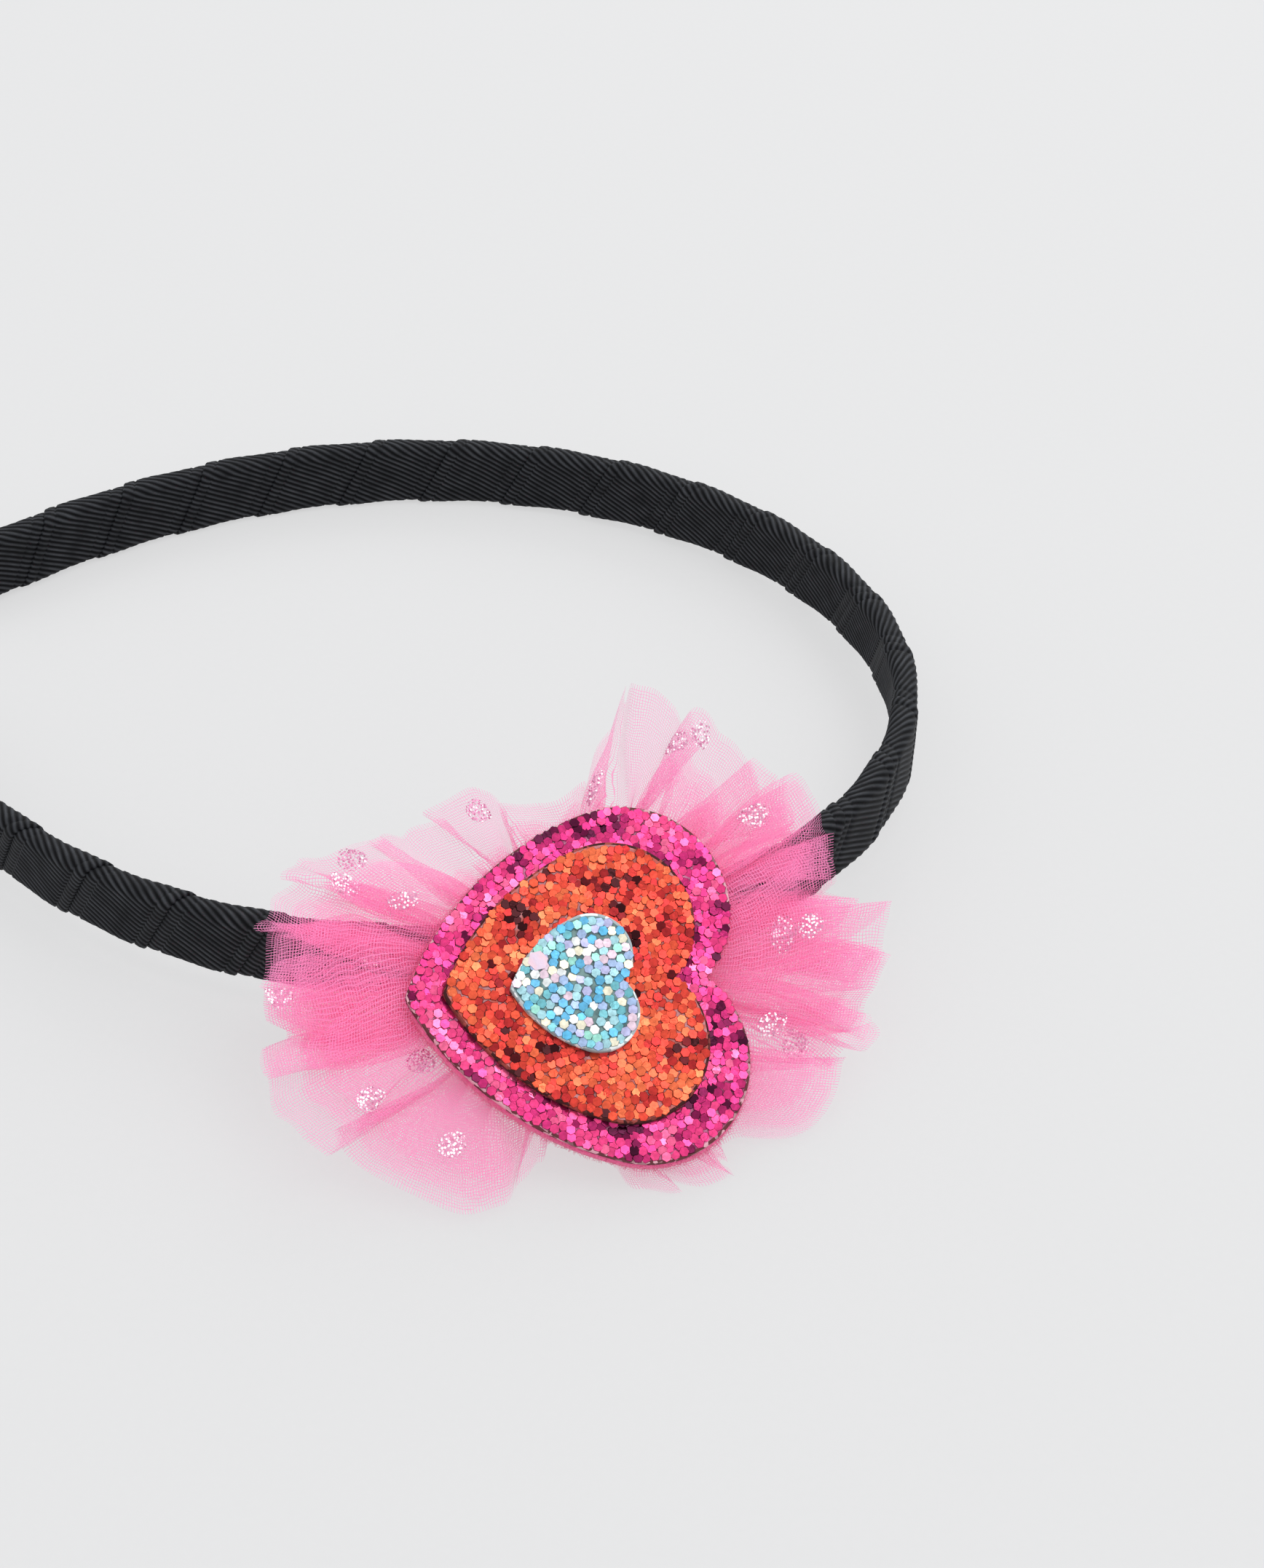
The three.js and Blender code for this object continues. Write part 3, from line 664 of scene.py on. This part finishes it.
# How near to its place a dot looks for the topmost cloth, what keeps it from the far side of the root, its
# distance from a cut edge, and the most that it is widened where the cloth is drawn together
DOT_SEARCH, DOT_FAR_SIDE, DOT_FROM_EDGE, DOT_SPREAD = 0.9, 99, 1.95, 1.25
# Each dot that shows: layer of the tulle, angle round the root, distance from it, and share that sparkles
DOTS = (
    (0, 50.9, 34.4, 0.4), (0, 46, 37, 0.55), (1, 24.8, 32.2, 0.62), (0, 67.5, 25.1, 0.3), (0, 101, 24, 0.15),
    (0, 138, 31.2, 0.1), (1, 143, 33.1, 0.62), (2, 147, 22.9, 0.55), (0, 163, 24.5, 0.5), (0, 171, 38.4, 0.5),
    (2, 201, 31.2, 0.62), (2, 221, 28.2, 0.66), (0, 198, 22.8, 0), (1, 352, 29, 0.3), (2, 328, 27.5, 0.62),
    (1, 326, 31.7, 0.3), (2, 355, 32.4, 0.62),
)
SPECK_SCALE, SPECK_SIZE = 2600.0, 0.42
# Silver specks, and pink ones painted as the shade of a dot that does not catch the light
SPECK_SILVER, SPECK_SHADE_PINK = (0.95, 0.88, 0.92, 1), (0.60, 0.24, 0.39, 1)


def dot_places():
    """Where each dot is in its layer's flat measure, on the topmost cloth, and how drawn the cloth is."""
    towards = np.array(motif_turn)[:, 2]
    places, drawn = [], []
    for layer, angle, radius, _ in DOTS:
        rings, ring_angles, ring_radii, down = layers[layer]
        turn = np.radians(ring_angles - angle)
        gap = np.hypot(ring_radii - radius, ring_radii * np.sin(turn)) + DOT_FAR_SIDE * (np.cos(turn) < 0)
        near = gap <= max(DOT_SEARCH, gap.min())
        ring, column = np.unravel_index(np.argmax(np.where(near, rings @ towards, -np.inf)), gap.shape)
        cut_edge = cut_edges[layer]
        along = np.clip(cut_edge[column], cut_edge[0] + DOT_FROM_EDGE, cut_edge[-1] - DOT_FROM_EDGE)
        places.append((along, max(down[ring, column], DOT_FROM_EDGE), 0))
        drawn.append(gathers[layer][ring * len(cut_edge) + column])
    return places, np.array(drawn)


def print_material():
    """Glitter specks with bare net between: painted silver glint as often as a dot's shine says, else pink
    shade.
    """
    material, tree, shader = new_material("silver_glitter_print")
    inputs = {"Vector": object_place(tree), "Scale": SPECK_SCALE}
    specks = add(tree, "ShaderNodeTexVoronoi", inputs).outputs
    pick = add(tree, "ShaderNodeSeparateColor", {0: specks["Color"]}).outputs
    silver = maths(tree, "LESS_THAN", pick[0], own_number(tree, "shine"))
    feed(tree, shader, {
        "Base Color": blend(tree, silver, SPECK_SHADE_PINK, SPECK_SILVER),
        "Roughness": ranged(tree, pick[1], to_low=0.25, to_high=0.5),
        "Metallic": 0.3,
    })
    show_net(tree, maths(tree, "LESS_THAN", specks["Distance"], SPECK_SIZE), shader.outputs[0])
    return material


def dot_group(cloth, material):
    """Lays a thin round on the cloth at each point, which is a place in the cloth's flat measure."""
    group, given, result = node_group("press_dots", ("Dot radius", "Dot thickness"))
    points = out_of(group, "GeometryNodeMeshToPoints", {"Mesh": given["Geometry"]})
    inputs = {
        "Vertices": DOT_SIDES, "Fill Segments": DOT_RINGS, "Radius": given["Dot radius"],
        "Depth": given["Dot thickness"],
    }
    disc = out_of(group, "GeometryNodeMeshCylinder", inputs, fill_type="TRIANGLE_FAN")
    size = out_of(group, "ShaderNodeCombineXYZ", {0: named(group, "spread"), 1: 1.0, 2: 1.0})
    inputs = {"Points": points, "Instance": disc, "Scale": size}
    dots = out_of(group, "GeometryNodeInstanceOnPoints", inputs)
    flat = out_of(group, "GeometryNodeRealizeInstances", {"Geometry": dots})
    place = out_of(group, "GeometryNodeInputPosition")
    measure = {
        "Mesh": add(group, "GeometryNodeObjectInfo", {"Object": cloth}).outputs["Geometry"],
        "UV Map": named(group, "cloth", "FLOAT_VECTOR"), "Sample UV": place,
    }
    found = []
    for wanted in (place, out_of(group, "GeometryNodeInputNormal")):
        inputs = {**measure, "Value": wanted}
        found.append(out_of(group, "GeometryNodeSampleUVSurface", inputs, data_type="FLOAT_VECTOR"))
    height = add(group, "ShaderNodeSeparateXYZ", {0: place}).outputs[2]
    inputs = {0: found[0], 1: scaled(group, found[1], height)}
    spot = out_of(group, "ShaderNodeVectorMath", inputs, operation="ADD")
    laid = out_of(group, "GeometryNodeSetPosition", {"Geometry": flat, "Position": spot})
    return close_group(group, laid, material, result)


glitter_print = print_material()
dot_points, dot_drawn = dot_places()
dots = mesh_object("foil_dots", dot_points, [], glitter_print)
set_number(dots, "spread", np.minimum(1 / dot_drawn, DOT_SPREAD))
set_number(dots, "shine", np.array([row[3] for row in DOTS]))
dot_sizes = {"Dot radius": DOT_RADIUS * MM, "Dot thickness": DOT_THICKNESS * MM}
grow(dots, dot_group(ruffle, glitter_print), dot_sizes)
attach(dots, "root")


# Felt backing. A heart is cut from thick pink felt, glued over the gathered tulle and closes the back of
# the motif. Loose wool fibres stand out from its cut edge.
# All hearts: radius of the lobes and of the tip as shares of the width, the angle of a side to the middle
# line at the tip, the turn on the motif, points of an outline, and sizes of the rings inside it
HEART_LOBE, HEART_TIP, HEART_TIP_ANGLE = 0.287, 0.03, math.radians(66)
HEART_ROLL, HEART_STEPS = math.radians(-10), 240
HEART_RINGS = (0.35, 0.7)
FELT = {"width": 48.2, "length": 44.3, "place": (-0.65, -0.7), "back": 0.0, "front": 1.8}
# The felt's edge from its back to its front: inset from the outline, and height as a share
FELT_EDGE = ((0.5, 0), (0.15, 0.1), (0, 0.35), (0, 0.7), (0.15, 0.92), (0.5, 1))
FIBRE_SIZES = {"Fibre length": 0.5 * MM, "Fibre radius": 0.018 * MM, "Fibre density": 7.0e6}
# A fibre of length 1: where it starts, turns and ends
FIBRE_BEND = {"Start": (0, 0, 0), "Middle": (0, 0, 0.6), "End": (0.7, 0, 0.7)}
FIBRE_TILT, FIBRE_SEED, FIBRE_STEPS, FIBRE_SIDES = 0.9, 5, 3, 3
FELT_PINK, FELT_DEEP, FELT_FUZZ = (0.97, 0.15, 0.36, 1), (0.82, 0.08, 0.25, 1), 0.25


def heart_outline(layer):
    """Outline of a heart from its cleft, anticlockwise, tip towards -x: lobes, bowed sides and round tip."""
    width, length = layer["width"], layer["length"]
    sin, cos = math.sin(HEART_TIP_ANGLE), math.cos(HEART_TIP_ANGLE)
    lobe, tip = HEART_LOBE * width, HEART_TIP * width
    lobe_x, lobe_y = length - lobe, width / 2 - lobe
    side = (lobe_x**2 + lobe_y**2 - lobe**2) / (2 * (lobe_x * sin - lobe_y * cos - lobe))
    tip_x = side * sin - math.sqrt((side * sin) ** 2 - 2 * side * tip + tip**2)
    cleft = math.atan2(-lobe_y, math.sqrt(lobe**2 - lobe_y**2))
    shoulder = math.atan2(lobe_y + side * cos, lobe_x - side * sin)
    point = math.atan2(side * cos, tip_x - side * sin)
    arcs = (  # middle, radius, and the angles where the arc begins and ends
        (lobe_x, lobe_y, lobe, cleft, shoulder),
        (side * sin, -side * cos, side, shoulder, point),
        (tip_x, 0, tip, point, math.tau - point),
        (side * sin, side * cos, side, -point, -shoulder),
        (lobe_x, -lobe_y, lobe, -shoulder, -cleft),
    )
    path = []
    for x, y, radius, begin, end in arcs:
        turn = np.linspace(begin, end, HEART_STEPS)
        path.append(np.stack((x + radius * np.cos(turn), y + radius * np.sin(turn)), axis=-1))
    path = np.concatenate(path) - ((length + tip_x - tip) / 2, 0)
    reached = np.concatenate(([0], np.cumsum(np.linalg.norm(np.diff(path, axis=0), axis=1))))
    even = np.linspace(0, reached[-1], HEART_STEPS, endpoint=False)
    return np.stack((np.interp(even, reached, path[:, 0]), np.interp(even, reached, path[:, 1])), axis=-1)


def declare_heart(layer):
    """Works out a heart's outline in metres, and does nothing more with it."""
    outline = heart_outline(layer) * MM


def on_heart(flat, place, z):
    """Points of a heart's own plane in the part: place is its middle, z its height over the felt's back."""
    cos, sin = math.cos(HEART_ROLL), math.sin(HEART_ROLL)
    turned = (np.asarray(flat) + place) @ np.array(((cos, sin), (-sin, cos)))
    return on_motif(np.concatenate((turned, np.broadcast_to(z, (*turned.shape[:-1], 1))), axis=-1))


def heart_solid(name, layer, edge, face, edge_face):
    """A closed heart with its own edge, whose faces have a second material."""
    outline = heart_outline(layer)
    back, front = layer["back"], layer["front"]
    rows = [(share, back) for share in HEART_RINGS]
    rows += [(1 - 2 * inset / layer["width"], back + (front - back) * share) for inset, share in edge]
    rows += [(share, front) for share in reversed(HEART_RINGS)]
    points = [on_heart(outline * size, layer["place"], z) for size, z in rows]
    middles = [on_heart(np.zeros((1, 2)), layer["place"], z) for z in (back, front)]
    here = np.arange(HEART_STEPS)
    following = (here + 1) % HEART_STEPS
    last = (len(rows) - 1) * HEART_STEPS
    back_middle, front_middle = (np.full(HEART_STEPS, last + HEART_STEPS + side) for side in (0, 1))
    faces = []
    for low in range(0, last, HEART_STEPS):
        high = low + HEART_STEPS
        faces += np.stack((here + low, following + low, following + high, here + high), axis=-1).tolist()
    faces += np.stack((back_middle, following, here), axis=-1).tolist()
    faces += np.stack((here + last, following + last, front_middle), axis=-1).tolist()
    made = mesh_object(name, np.concatenate((*points, *middles)), faces, face)
    made.data.materials.append(edge_face)
    cut_from = len(HEART_RINGS) * HEART_STEPS
    for polygon in made.data.polygons[cut_from:cut_from + (len(edge) - 1) * HEART_STEPS]:
        polygon.material_index = 1
    return made


def felt_material():
    """Matted pink wool, cloudy in colour and fuzzy."""
    material, tree, shader = new_material("pink_felt")
    place = object_place(tree)
    matted = noise(tree, place, scale=2600.0, detail=5.0, distortion=1.5)
    cloudy = noise(tree, place, scale=220.0, detail=2.0)
    shade = ranged(tree, maths(tree, "MULTIPLY", matted, cloudy), low=0.12, high=0.4)
    feed(tree, shader, {
        "Base Color": blend(tree, shade, FELT_DEEP, FELT_PINK),
        "Normal": bump(tree, matted, FELT_FUZZ),
        "Roughness": 0.95,
        "Sheen Weight": 0.3,
    })
    return material


def strew(group, points, thing, tilt, seed, rotation):
    """Puts a thing on each point, tilted a little at random and spun about the way the point faces."""
    back = maths(group, "MULTIPLY", tilt, -1.0)
    least = out_of(group, "ShaderNodeCombineXYZ", {0: back, 1: back, 2: 0.0})
    most = out_of(group, "ShaderNodeCombineXYZ", {0: tilt, 1: tilt, 2: math.tau})
    inputs = {0: least, 1: most, "Seed": seed}
    drawn = out_of(group, "FunctionNodeRandomValue", inputs, data_type="FLOAT_VECTOR")
    inputs = {0: rotation, 1: out_of(group, "FunctionNodeEulerToRotation", {0: drawn})}
    turn = out_of(group, "FunctionNodeRotateRotation", inputs, rotation_space="LOCAL")
    inputs = {"Points": points, "Instance": thing, "Rotation": turn}
    return out_of(group, "GeometryNodeInstanceOnPoints", inputs)


def fibre_group(material):
    """Bent wool fibres on the piece, as many as its fuzz number allows, kept with the piece itself."""
    group, given, result = node_group("raise_fibres", FIBRE_SIZES)
    density = maths(group, "MULTIPLY", named(group, "fuzz"), given["Fibre density"])
    inputs = {"Mesh": given["Geometry"], "Density": density, "Seed": FIBRE_SEED}
    spots = add(group, "GeometryNodeDistributePointsOnFaces", inputs).outputs
    inputs = {"Resolution": FIBRE_STEPS, **FIBRE_BEND}
    bend = out_of(group, "GeometryNodeCurveQuadraticBezier", inputs)
    inputs = {"Geometry": bend, "Scale": given["Fibre length"]}
    sized = out_of(group, "GeometryNodeTransform", inputs)
    inputs = {"Resolution": FIBRE_SIDES, "Radius": given["Fibre radius"]}
    section = out_of(group, "GeometryNodeCurvePrimitiveCircle", inputs)
    fibre = out_of(group, "GeometryNodeCurveToMesh", {0: sized, 1: section, "Fill Caps": True})
    grown = strew(group, spots[0], fibre, FIBRE_TILT, FIBRE_SEED, spots["Rotation"])
    joined = add(group, "GeometryNodeJoinGeometry", {0: given["Geometry"]})
    feed(group, joined, {0: grown})
    return close_group(group, joined.outputs[0], material, result)


wool = felt_material()
felt = heart_solid("felt_heart", FELT, FELT_EDGE, wool, wool)
fuzz = np.zeros(len(felt.data.vertices))
fuzz[len(HEART_RINGS) * HEART_STEPS:(len(HEART_RINGS) + len(FELT_EDGE)) * HEART_STEPS] = 1
set_number(felt, "fuzz", fuzz)
grow(felt, fibre_group(wool), FIBRE_SIZES)
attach(felt, "root")
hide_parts("felt_backing")
declare_heart(FELT)


# Large magenta heart. A sheet of coarse glitter, hexagon flakes of metallic film glued on woven backing,
# is cut to a heart and glued on the felt. The backing shows as a thin brown and pale line at its cut edge.
MAGENTA = {"width": 47.7, "length": 43.8, "place": (-0.65, -0.7), "back": 1.8, "front": 3.05}
ORANGE = {"width": 37.4, "length": 33.8, "place": (-0.93, -0.76), "back": 3.0, "front": 4.35}
SHEET_EDGE = ((0.3, 0), (0, 0.1), (0, 0.85), (0.06, 0.97), (0.38, 1))
# Sizes of the flakes and their spacing, how much their colour changes from patch to patch and from flake to
# flake, and where in the noise the patches are read
FLAKE_SIZES = {
    "Flake radius": 0.72 * MM, "Rim radius": 0.65 * MM, "Flake thickness": 0.06 * MM, "Flake tilt": 0.17,
    "Flake spacing": 0.9 * MM, "Flake rise": 0.2 * MM, "Patchiness": 2.4, "Spread": 0.5, "Patch place": 0.0,
}
FLAKE_SIDES, FLAKE_TRIES, RISE_SEED = 6, 4.0e7, 3
# Flakes begin so far inside the cut edge and go on so far under the heart above. The face that they are
# strewn on has so many rows, and on the top heart it closes to this share of the outline
FLAKE_INSET, FLAKE_UNDER, FLAKE_ROWS, FLAKE_CENTRE = 0.6, 1.0, 12, 0.02
PATCH_SCALE = 230.0
# RIM_SHADE is the share of a flake's colour kept on its rim: partly the dark joint between flakes, partly
# painted shade of their overlaps
CRINKLE_SCALE, CRINKLE_DEPTH, RIM_SHADE, WEAR_SHUFFLE = 1700.0, 0.025, 0.4, 41.0
GLUE_DEPTH = 0.15
# Glue over the backing and in its gaps, threads of the cut edge, and colours that the flakes draw from
MAGENTA_LOOKS = {
    "glue": ((0.26, 0.008, 0.09, 1), (0.62, 0.16, 0.32, 1)),
    "edge": ((0.13, 0.035, 0.04, 1), (0.72, 0.38, 0.44, 1)),
    # Flake colours run from near black to bright: partly the film's own tone, partly a painted reflection of
    # darker and brighter surroundings
    "film": (
        (0.0, (0.05, 0.001, 0.02)), (0.14, (0.16, 0.003, 0.05)), (0.28, (0.50, 0.021, 0.145)),
        (0.5, (0.74, 0.041, 0.195)), (0.76, (0.84, 0.064, 0.225)), (1.0, (0.90, 0.14, 0.30)),
    ),
    "film_steps": "LINEAR", "metallic": 0.8,
    "sizes": {"Seed": 21, "Patch place": 47.9, "Spread": 0.65},
}


def glue_material(name, deep, pale):
    """Clear glue over the backing, patchy between two colours."""
    material, tree, shader = new_material(name)
    patchy = noise(tree, object_place(tree), scale=900.0, detail=3.0)
    share = ranged(tree, patchy, low=0.4, high=0.62)
    feed(tree, shader, {
        "Base Color": blend(tree, share, deep, pale),
        "Normal": bump(tree, patchy, GLUE_DEPTH),
        "Roughness": 0.4,
    })
    return material


def cut_edge_material(name, dark, pale):
    """Cut threads of a woven backing: short dashes of two colours along the edge."""
    material, tree, shader = new_material(name)
    dashes = add(tree, "ShaderNodeTexVoronoi", {"Vector": object_place(tree), "Scale": 1150.0})
    pick = out_of(tree, "ShaderNodeSeparateColor", {0: dashes.outputs["Color"]})
    colour = blend(tree, ranged(tree, pick, low=0.55, high=0.8), dark, pale)
    feed(tree, shader, {"Base Color": colour, "Roughness": 0.85, "Specular IOR Level": 0.2})
    return material


def flake_material(name, colours, steps, metallic):
    """Crinkled metallic film whose colour each flake draws from a row of colours, painted darker at its rim.
    """
    material, tree, shader = new_material(name)
    drawn = own_number(tree, "flake")
    ramp = add(tree, "ShaderNodeValToRGB", {0: drawn})
    ramp.color_ramp.interpolation = steps
    while len(ramp.color_ramp.elements) < len(colours):
        ramp.color_ramp.elements.new(0.5)
    for element, (position, colour) in zip(ramp.color_ramp.elements, colours):
        element.position = position
        element.color = (*colour, 1)
    crinkle = noise(tree, object_place(tree), scale=CRINKLE_SCALE, detail=2.0)
    tone = ranged(tree, crinkle, low=0.3, high=0.7, to_low=0.8, to_high=1.15)
    # A flake's rim is painted darker: the dark joint between flakes and a painted shade where one lies over
    # the next
    dark_rim = ranged(tree, own_number(tree, "rim"), to_low=1.0, to_high=RIM_SHADE)
    sheen_and_wear = maths(tree, "FRACT", maths(tree, "MULTIPLY", drawn, WEAR_SHUFFLE))
    feed(tree, shader, {
        "Base Color": scaled(tree, ramp.outputs[0], maths(tree, "MULTIPLY", tone, dark_rim)),
        "Roughness": ranged(tree, sheen_and_wear, to_low=0.14, to_high=0.34),
        "Normal": bump(tree, crinkle, CRINKLE_DEPTH),
        "Metallic": metallic,
    })
    return material


def flake_ground(name, layer, above, material):
    """The strip of a layer's front where flakes show, from near its edge to just under the heart above."""
    outline = heart_outline(layer)
    outer = outline * (1 - 2 * FLAKE_INSET / layer["width"])
    if above:
        inner = heart_outline(above) * (1 - 2 * FLAKE_UNDER / above["width"])
        inner = inner + np.subtract(above["place"], layer["place"])
    else:
        inner = outline * FLAKE_CENTRE
    share = np.linspace(0, 1, FLAKE_ROWS)[:, None, None]
    rows = outer * (1 - share) + inner * share
    rows = np.concatenate((rows, rows[:, :1]), axis=1)
    points = on_heart(rows.reshape(-1, 2), layer["place"], layer["front"])
    return mesh_object(name, points, grid_faces(FLAKE_ROWS, HEART_STEPS + 1), material)


def off_middle(group, value, spread):
    """How far a value from 0 to 1 is from its middle, so many times over."""
    return maths(group, "MULTIPLY", maths(group, "SUBTRACT", value, 0.5), spread)


def flake_group(material):
    """Hexagon flakes strewn over a face, closely spaced, each tilted, turned and raised a little."""
    group, given, result = node_group("strew_flakes", (*FLAKE_SIZES, "Seed"))
    inputs = {
        "Mesh": given["Geometry"], "Distance Min": given["Flake spacing"], "Density Max": FLAKE_TRIES,
        "Seed": given["Seed"],
    }
    spots = add(group, "GeometryNodeDistributePointsOnFaces", inputs, distribute_method="POISSON").outputs
    # Each flake's number, which its colour is drawn by, is like that of others nearby and partly its own
    place = out_of(group, "GeometryNodeInputPosition")
    inputs = {"Vector": place, "W": given["Patch place"], "Scale": PATCH_SCALE, "Detail": 1.0}
    patches = add(group, "ShaderNodeTexNoise", inputs, noise_dimensions="4D").outputs["Fac"]
    chance = add(group, "FunctionNodeRandomValue", {"Seed": given["Seed"]}, data_type="FLOAT").outputs[1]
    own, shared = off_middle(group, chance, given["Spread"]), off_middle(group, patches, given["Patchiness"])
    drawn = maths(group, "ADD", maths(group, "ADD", own, shared), 0.5, use_clamp=True)
    inputs = {"Geometry": spots[0], "Name": "flake", "Value": drawn}
    marked = out_of(group, "GeometryNodeStoreNamedAttribute", inputs)
    inputs = {2: 0.0, 3: given["Flake rise"], "Seed": RISE_SEED}
    height = add(group, "FunctionNodeRandomValue", inputs, data_type="FLOAT").outputs[1]
    inputs = {"Geometry": marked, "Offset": scaled(group, spots["Normal"], height)}
    raised = out_of(group, "GeometryNodeSetPosition", inputs)
    inputs = {
        "Vertices": FLAKE_SIDES, "Radius Bottom": given["Flake radius"], "Radius Top": given["Rim radius"],
        "Depth": given["Flake thickness"],
    }
    flake = add(group, "GeometryNodeMeshCone", inputs).outputs
    inputs = {"Geometry": flake["Mesh"], "Selection": flake["Side"], "Name": "rim", "Value": 1.0}
    rimmed = out_of(group, "GeometryNodeStoreNamedAttribute", inputs, domain="FACE")
    laid = strew(group, raised, rimmed, given["Flake tilt"], given["Seed"], spots["Rotation"])
    faceted = out_of(group, "GeometryNodeSetShadeSmooth", {"Geometry": laid, "Shade Smooth": False})
    return close_group(group, faceted, material, result)


def glitter_heart(name, node, layer, above, looks):
    """A glitter sheet cut to a heart, in the place of a node, and the flakes glued on it."""
    glue = glue_material(f"{name}_glue", *looks["glue"])
    cut_edge = cut_edge_material(f"{name}_cut_edge", *looks["edge"])
    sheet = heart_solid(f"{name}_sheet", layer, SHEET_EDGE, glue, cut_edge)
    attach(sheet, "root")
    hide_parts(node)
    film = flake_material(f"{name}_flake", looks["film"], looks["film_steps"], looks["metallic"])
    flakes = flake_ground(f"{name}_flakes", layer, above, film)
    grow(flakes, flake_group(film), {**FLAKE_SIZES, **looks["sizes"]})
    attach(flakes, "root")
    return sheet, flakes


magenta_sheet, magenta_flakes = glitter_heart("magenta", "heart_large", MAGENTA, ORANGE, MAGENTA_LOOKS)
declare_heart(MAGENTA)


# Medium orange heart. It is cut from the same kind of glitter sheet and glued on the magenta heart, with
# a dark brown cut edge and pinkish glue between its orange and deep red flakes.
BLUE = {"width": 18.3, "length": 16.4, "place": (-1.18, -1.03), "back": 4.3, "front": 5.65}
ORANGE_LOOKS = {
    "glue": ((0.45, 0.05, 0.03, 1), (0.50, 0.20, 0.22, 1)),
    "edge": ((0.05, 0.012, 0.012, 1), (0.32, 0.06, 0.05, 1)),
    # Flake colours run from near black to orange: partly the film's own tone, partly a painted reflection of
    # darker and brighter surroundings
    "film": (
        (0.0, (0.03, 0.001, 0.003)), (0.06, (0.10, 0.003, 0.006)), (0.17, (0.42, 0.020, 0.022)),
        (0.44, (0.62, 0.048, 0.032)), (0.74, (0.74, 0.088, 0.040)), (1.0, (0.80, 0.15, 0.06)),
    ),
    "film_steps": "LINEAR", "metallic": 0.8,
    "sizes": {"Seed": 34, "Patch place": 53.0, "Spread": 0.7},
}

orange_sheet, orange_flakes = glitter_heart("orange", "heart_medium", ORANGE, BLUE, ORANGE_LOOKS)
declare_heart(ORANGE)


# Small blue heart. The top layer is a sheet of pearly flakes in pale blues, mint, lilac, pink and cream,
# set apart on grey-green glue, with one large pale pink flake near the tip.
BLUE_LOOKS = {
    "glue": ((0.05, 0.12, 0.125, 1), (0.15, 0.26, 0.25, 1)),
    "edge": ((0.35, 0.42, 0.44, 1), (0.85, 0.88, 0.88, 1)),
    "film": (
        (0.0, (0.10, 0.40, 0.64)), (0.12, (0.34, 0.46, 0.70)), (0.22, (0.14, 0.44, 0.50)),
        (0.36, (0.34, 0.60, 0.66)), (0.55, (0.30, 0.66, 0.56)), (0.62, (0.48, 0.48, 0.74)),
        (0.70, (0.74, 0.56, 0.66)), (0.78, (0.80, 0.75, 0.58)), (0.85, (0.76, 0.79, 0.79)),
        (0.94, (0.10, 0.46, 0.74)),
    ),
    "film_steps": "CONSTANT", "metallic": 0.25,
    "sizes": {"Flake spacing": 1.02 * MM, "Patchiness": 0.0, "Spread": 1.0, "Seed": 55},
}
LARGE_FLAKE = {"place": (-5.1, 3.1), "radius": 1.35, "thickness": 0.08, "rise": 0.22}
LARGE_FLAKE_PINK, LARGE_FLAKE_LILAC = (0.78, 0.55, 0.64, 1), (0.72, 0.57, 0.70, 1)


def flake_solid(flake, low):
    """Points and faces of one hexagon flake that lies flat on the motif, its lower face at a height."""
    turn = np.arange(FLAKE_SIDES) * math.tau / FLAKE_SIDES
    corners = flake["radius"] * np.stack((np.cos(turn), np.sin(turn)), axis=-1)
    places = np.concatenate((corners, corners)) + flake["place"]
    heights = np.repeat((low, low + flake["thickness"]), FLAKE_SIDES)
    faces = [range(FLAKE_SIDES - 1, -1, -1), range(FLAKE_SIDES, 2 * FLAKE_SIDES)]
    for here in range(FLAKE_SIDES):
        following = (here + 1) % FLAKE_SIDES
        faces.append((here, following, following + FLAKE_SIDES, here + FLAKE_SIDES))
    return on_motif(np.column_stack((places, heights))), faces


blue_sheet, blue_flakes = glitter_heart("blue", "heart_small", BLUE, None, BLUE_LOOKS)
large_film = glue_material("large_pink_flake", LARGE_FLAKE_PINK, LARGE_FLAKE_LILAC)
flake_points, flake_faces = flake_solid(LARGE_FLAKE, BLUE["front"] + LARGE_FLAKE["rise"])
large_flake = mesh_object("large_flake", flake_points, flake_faces, large_film)
large_flake.data.shade_flat()
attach(large_flake, "root")
declare_heart(BLUE)
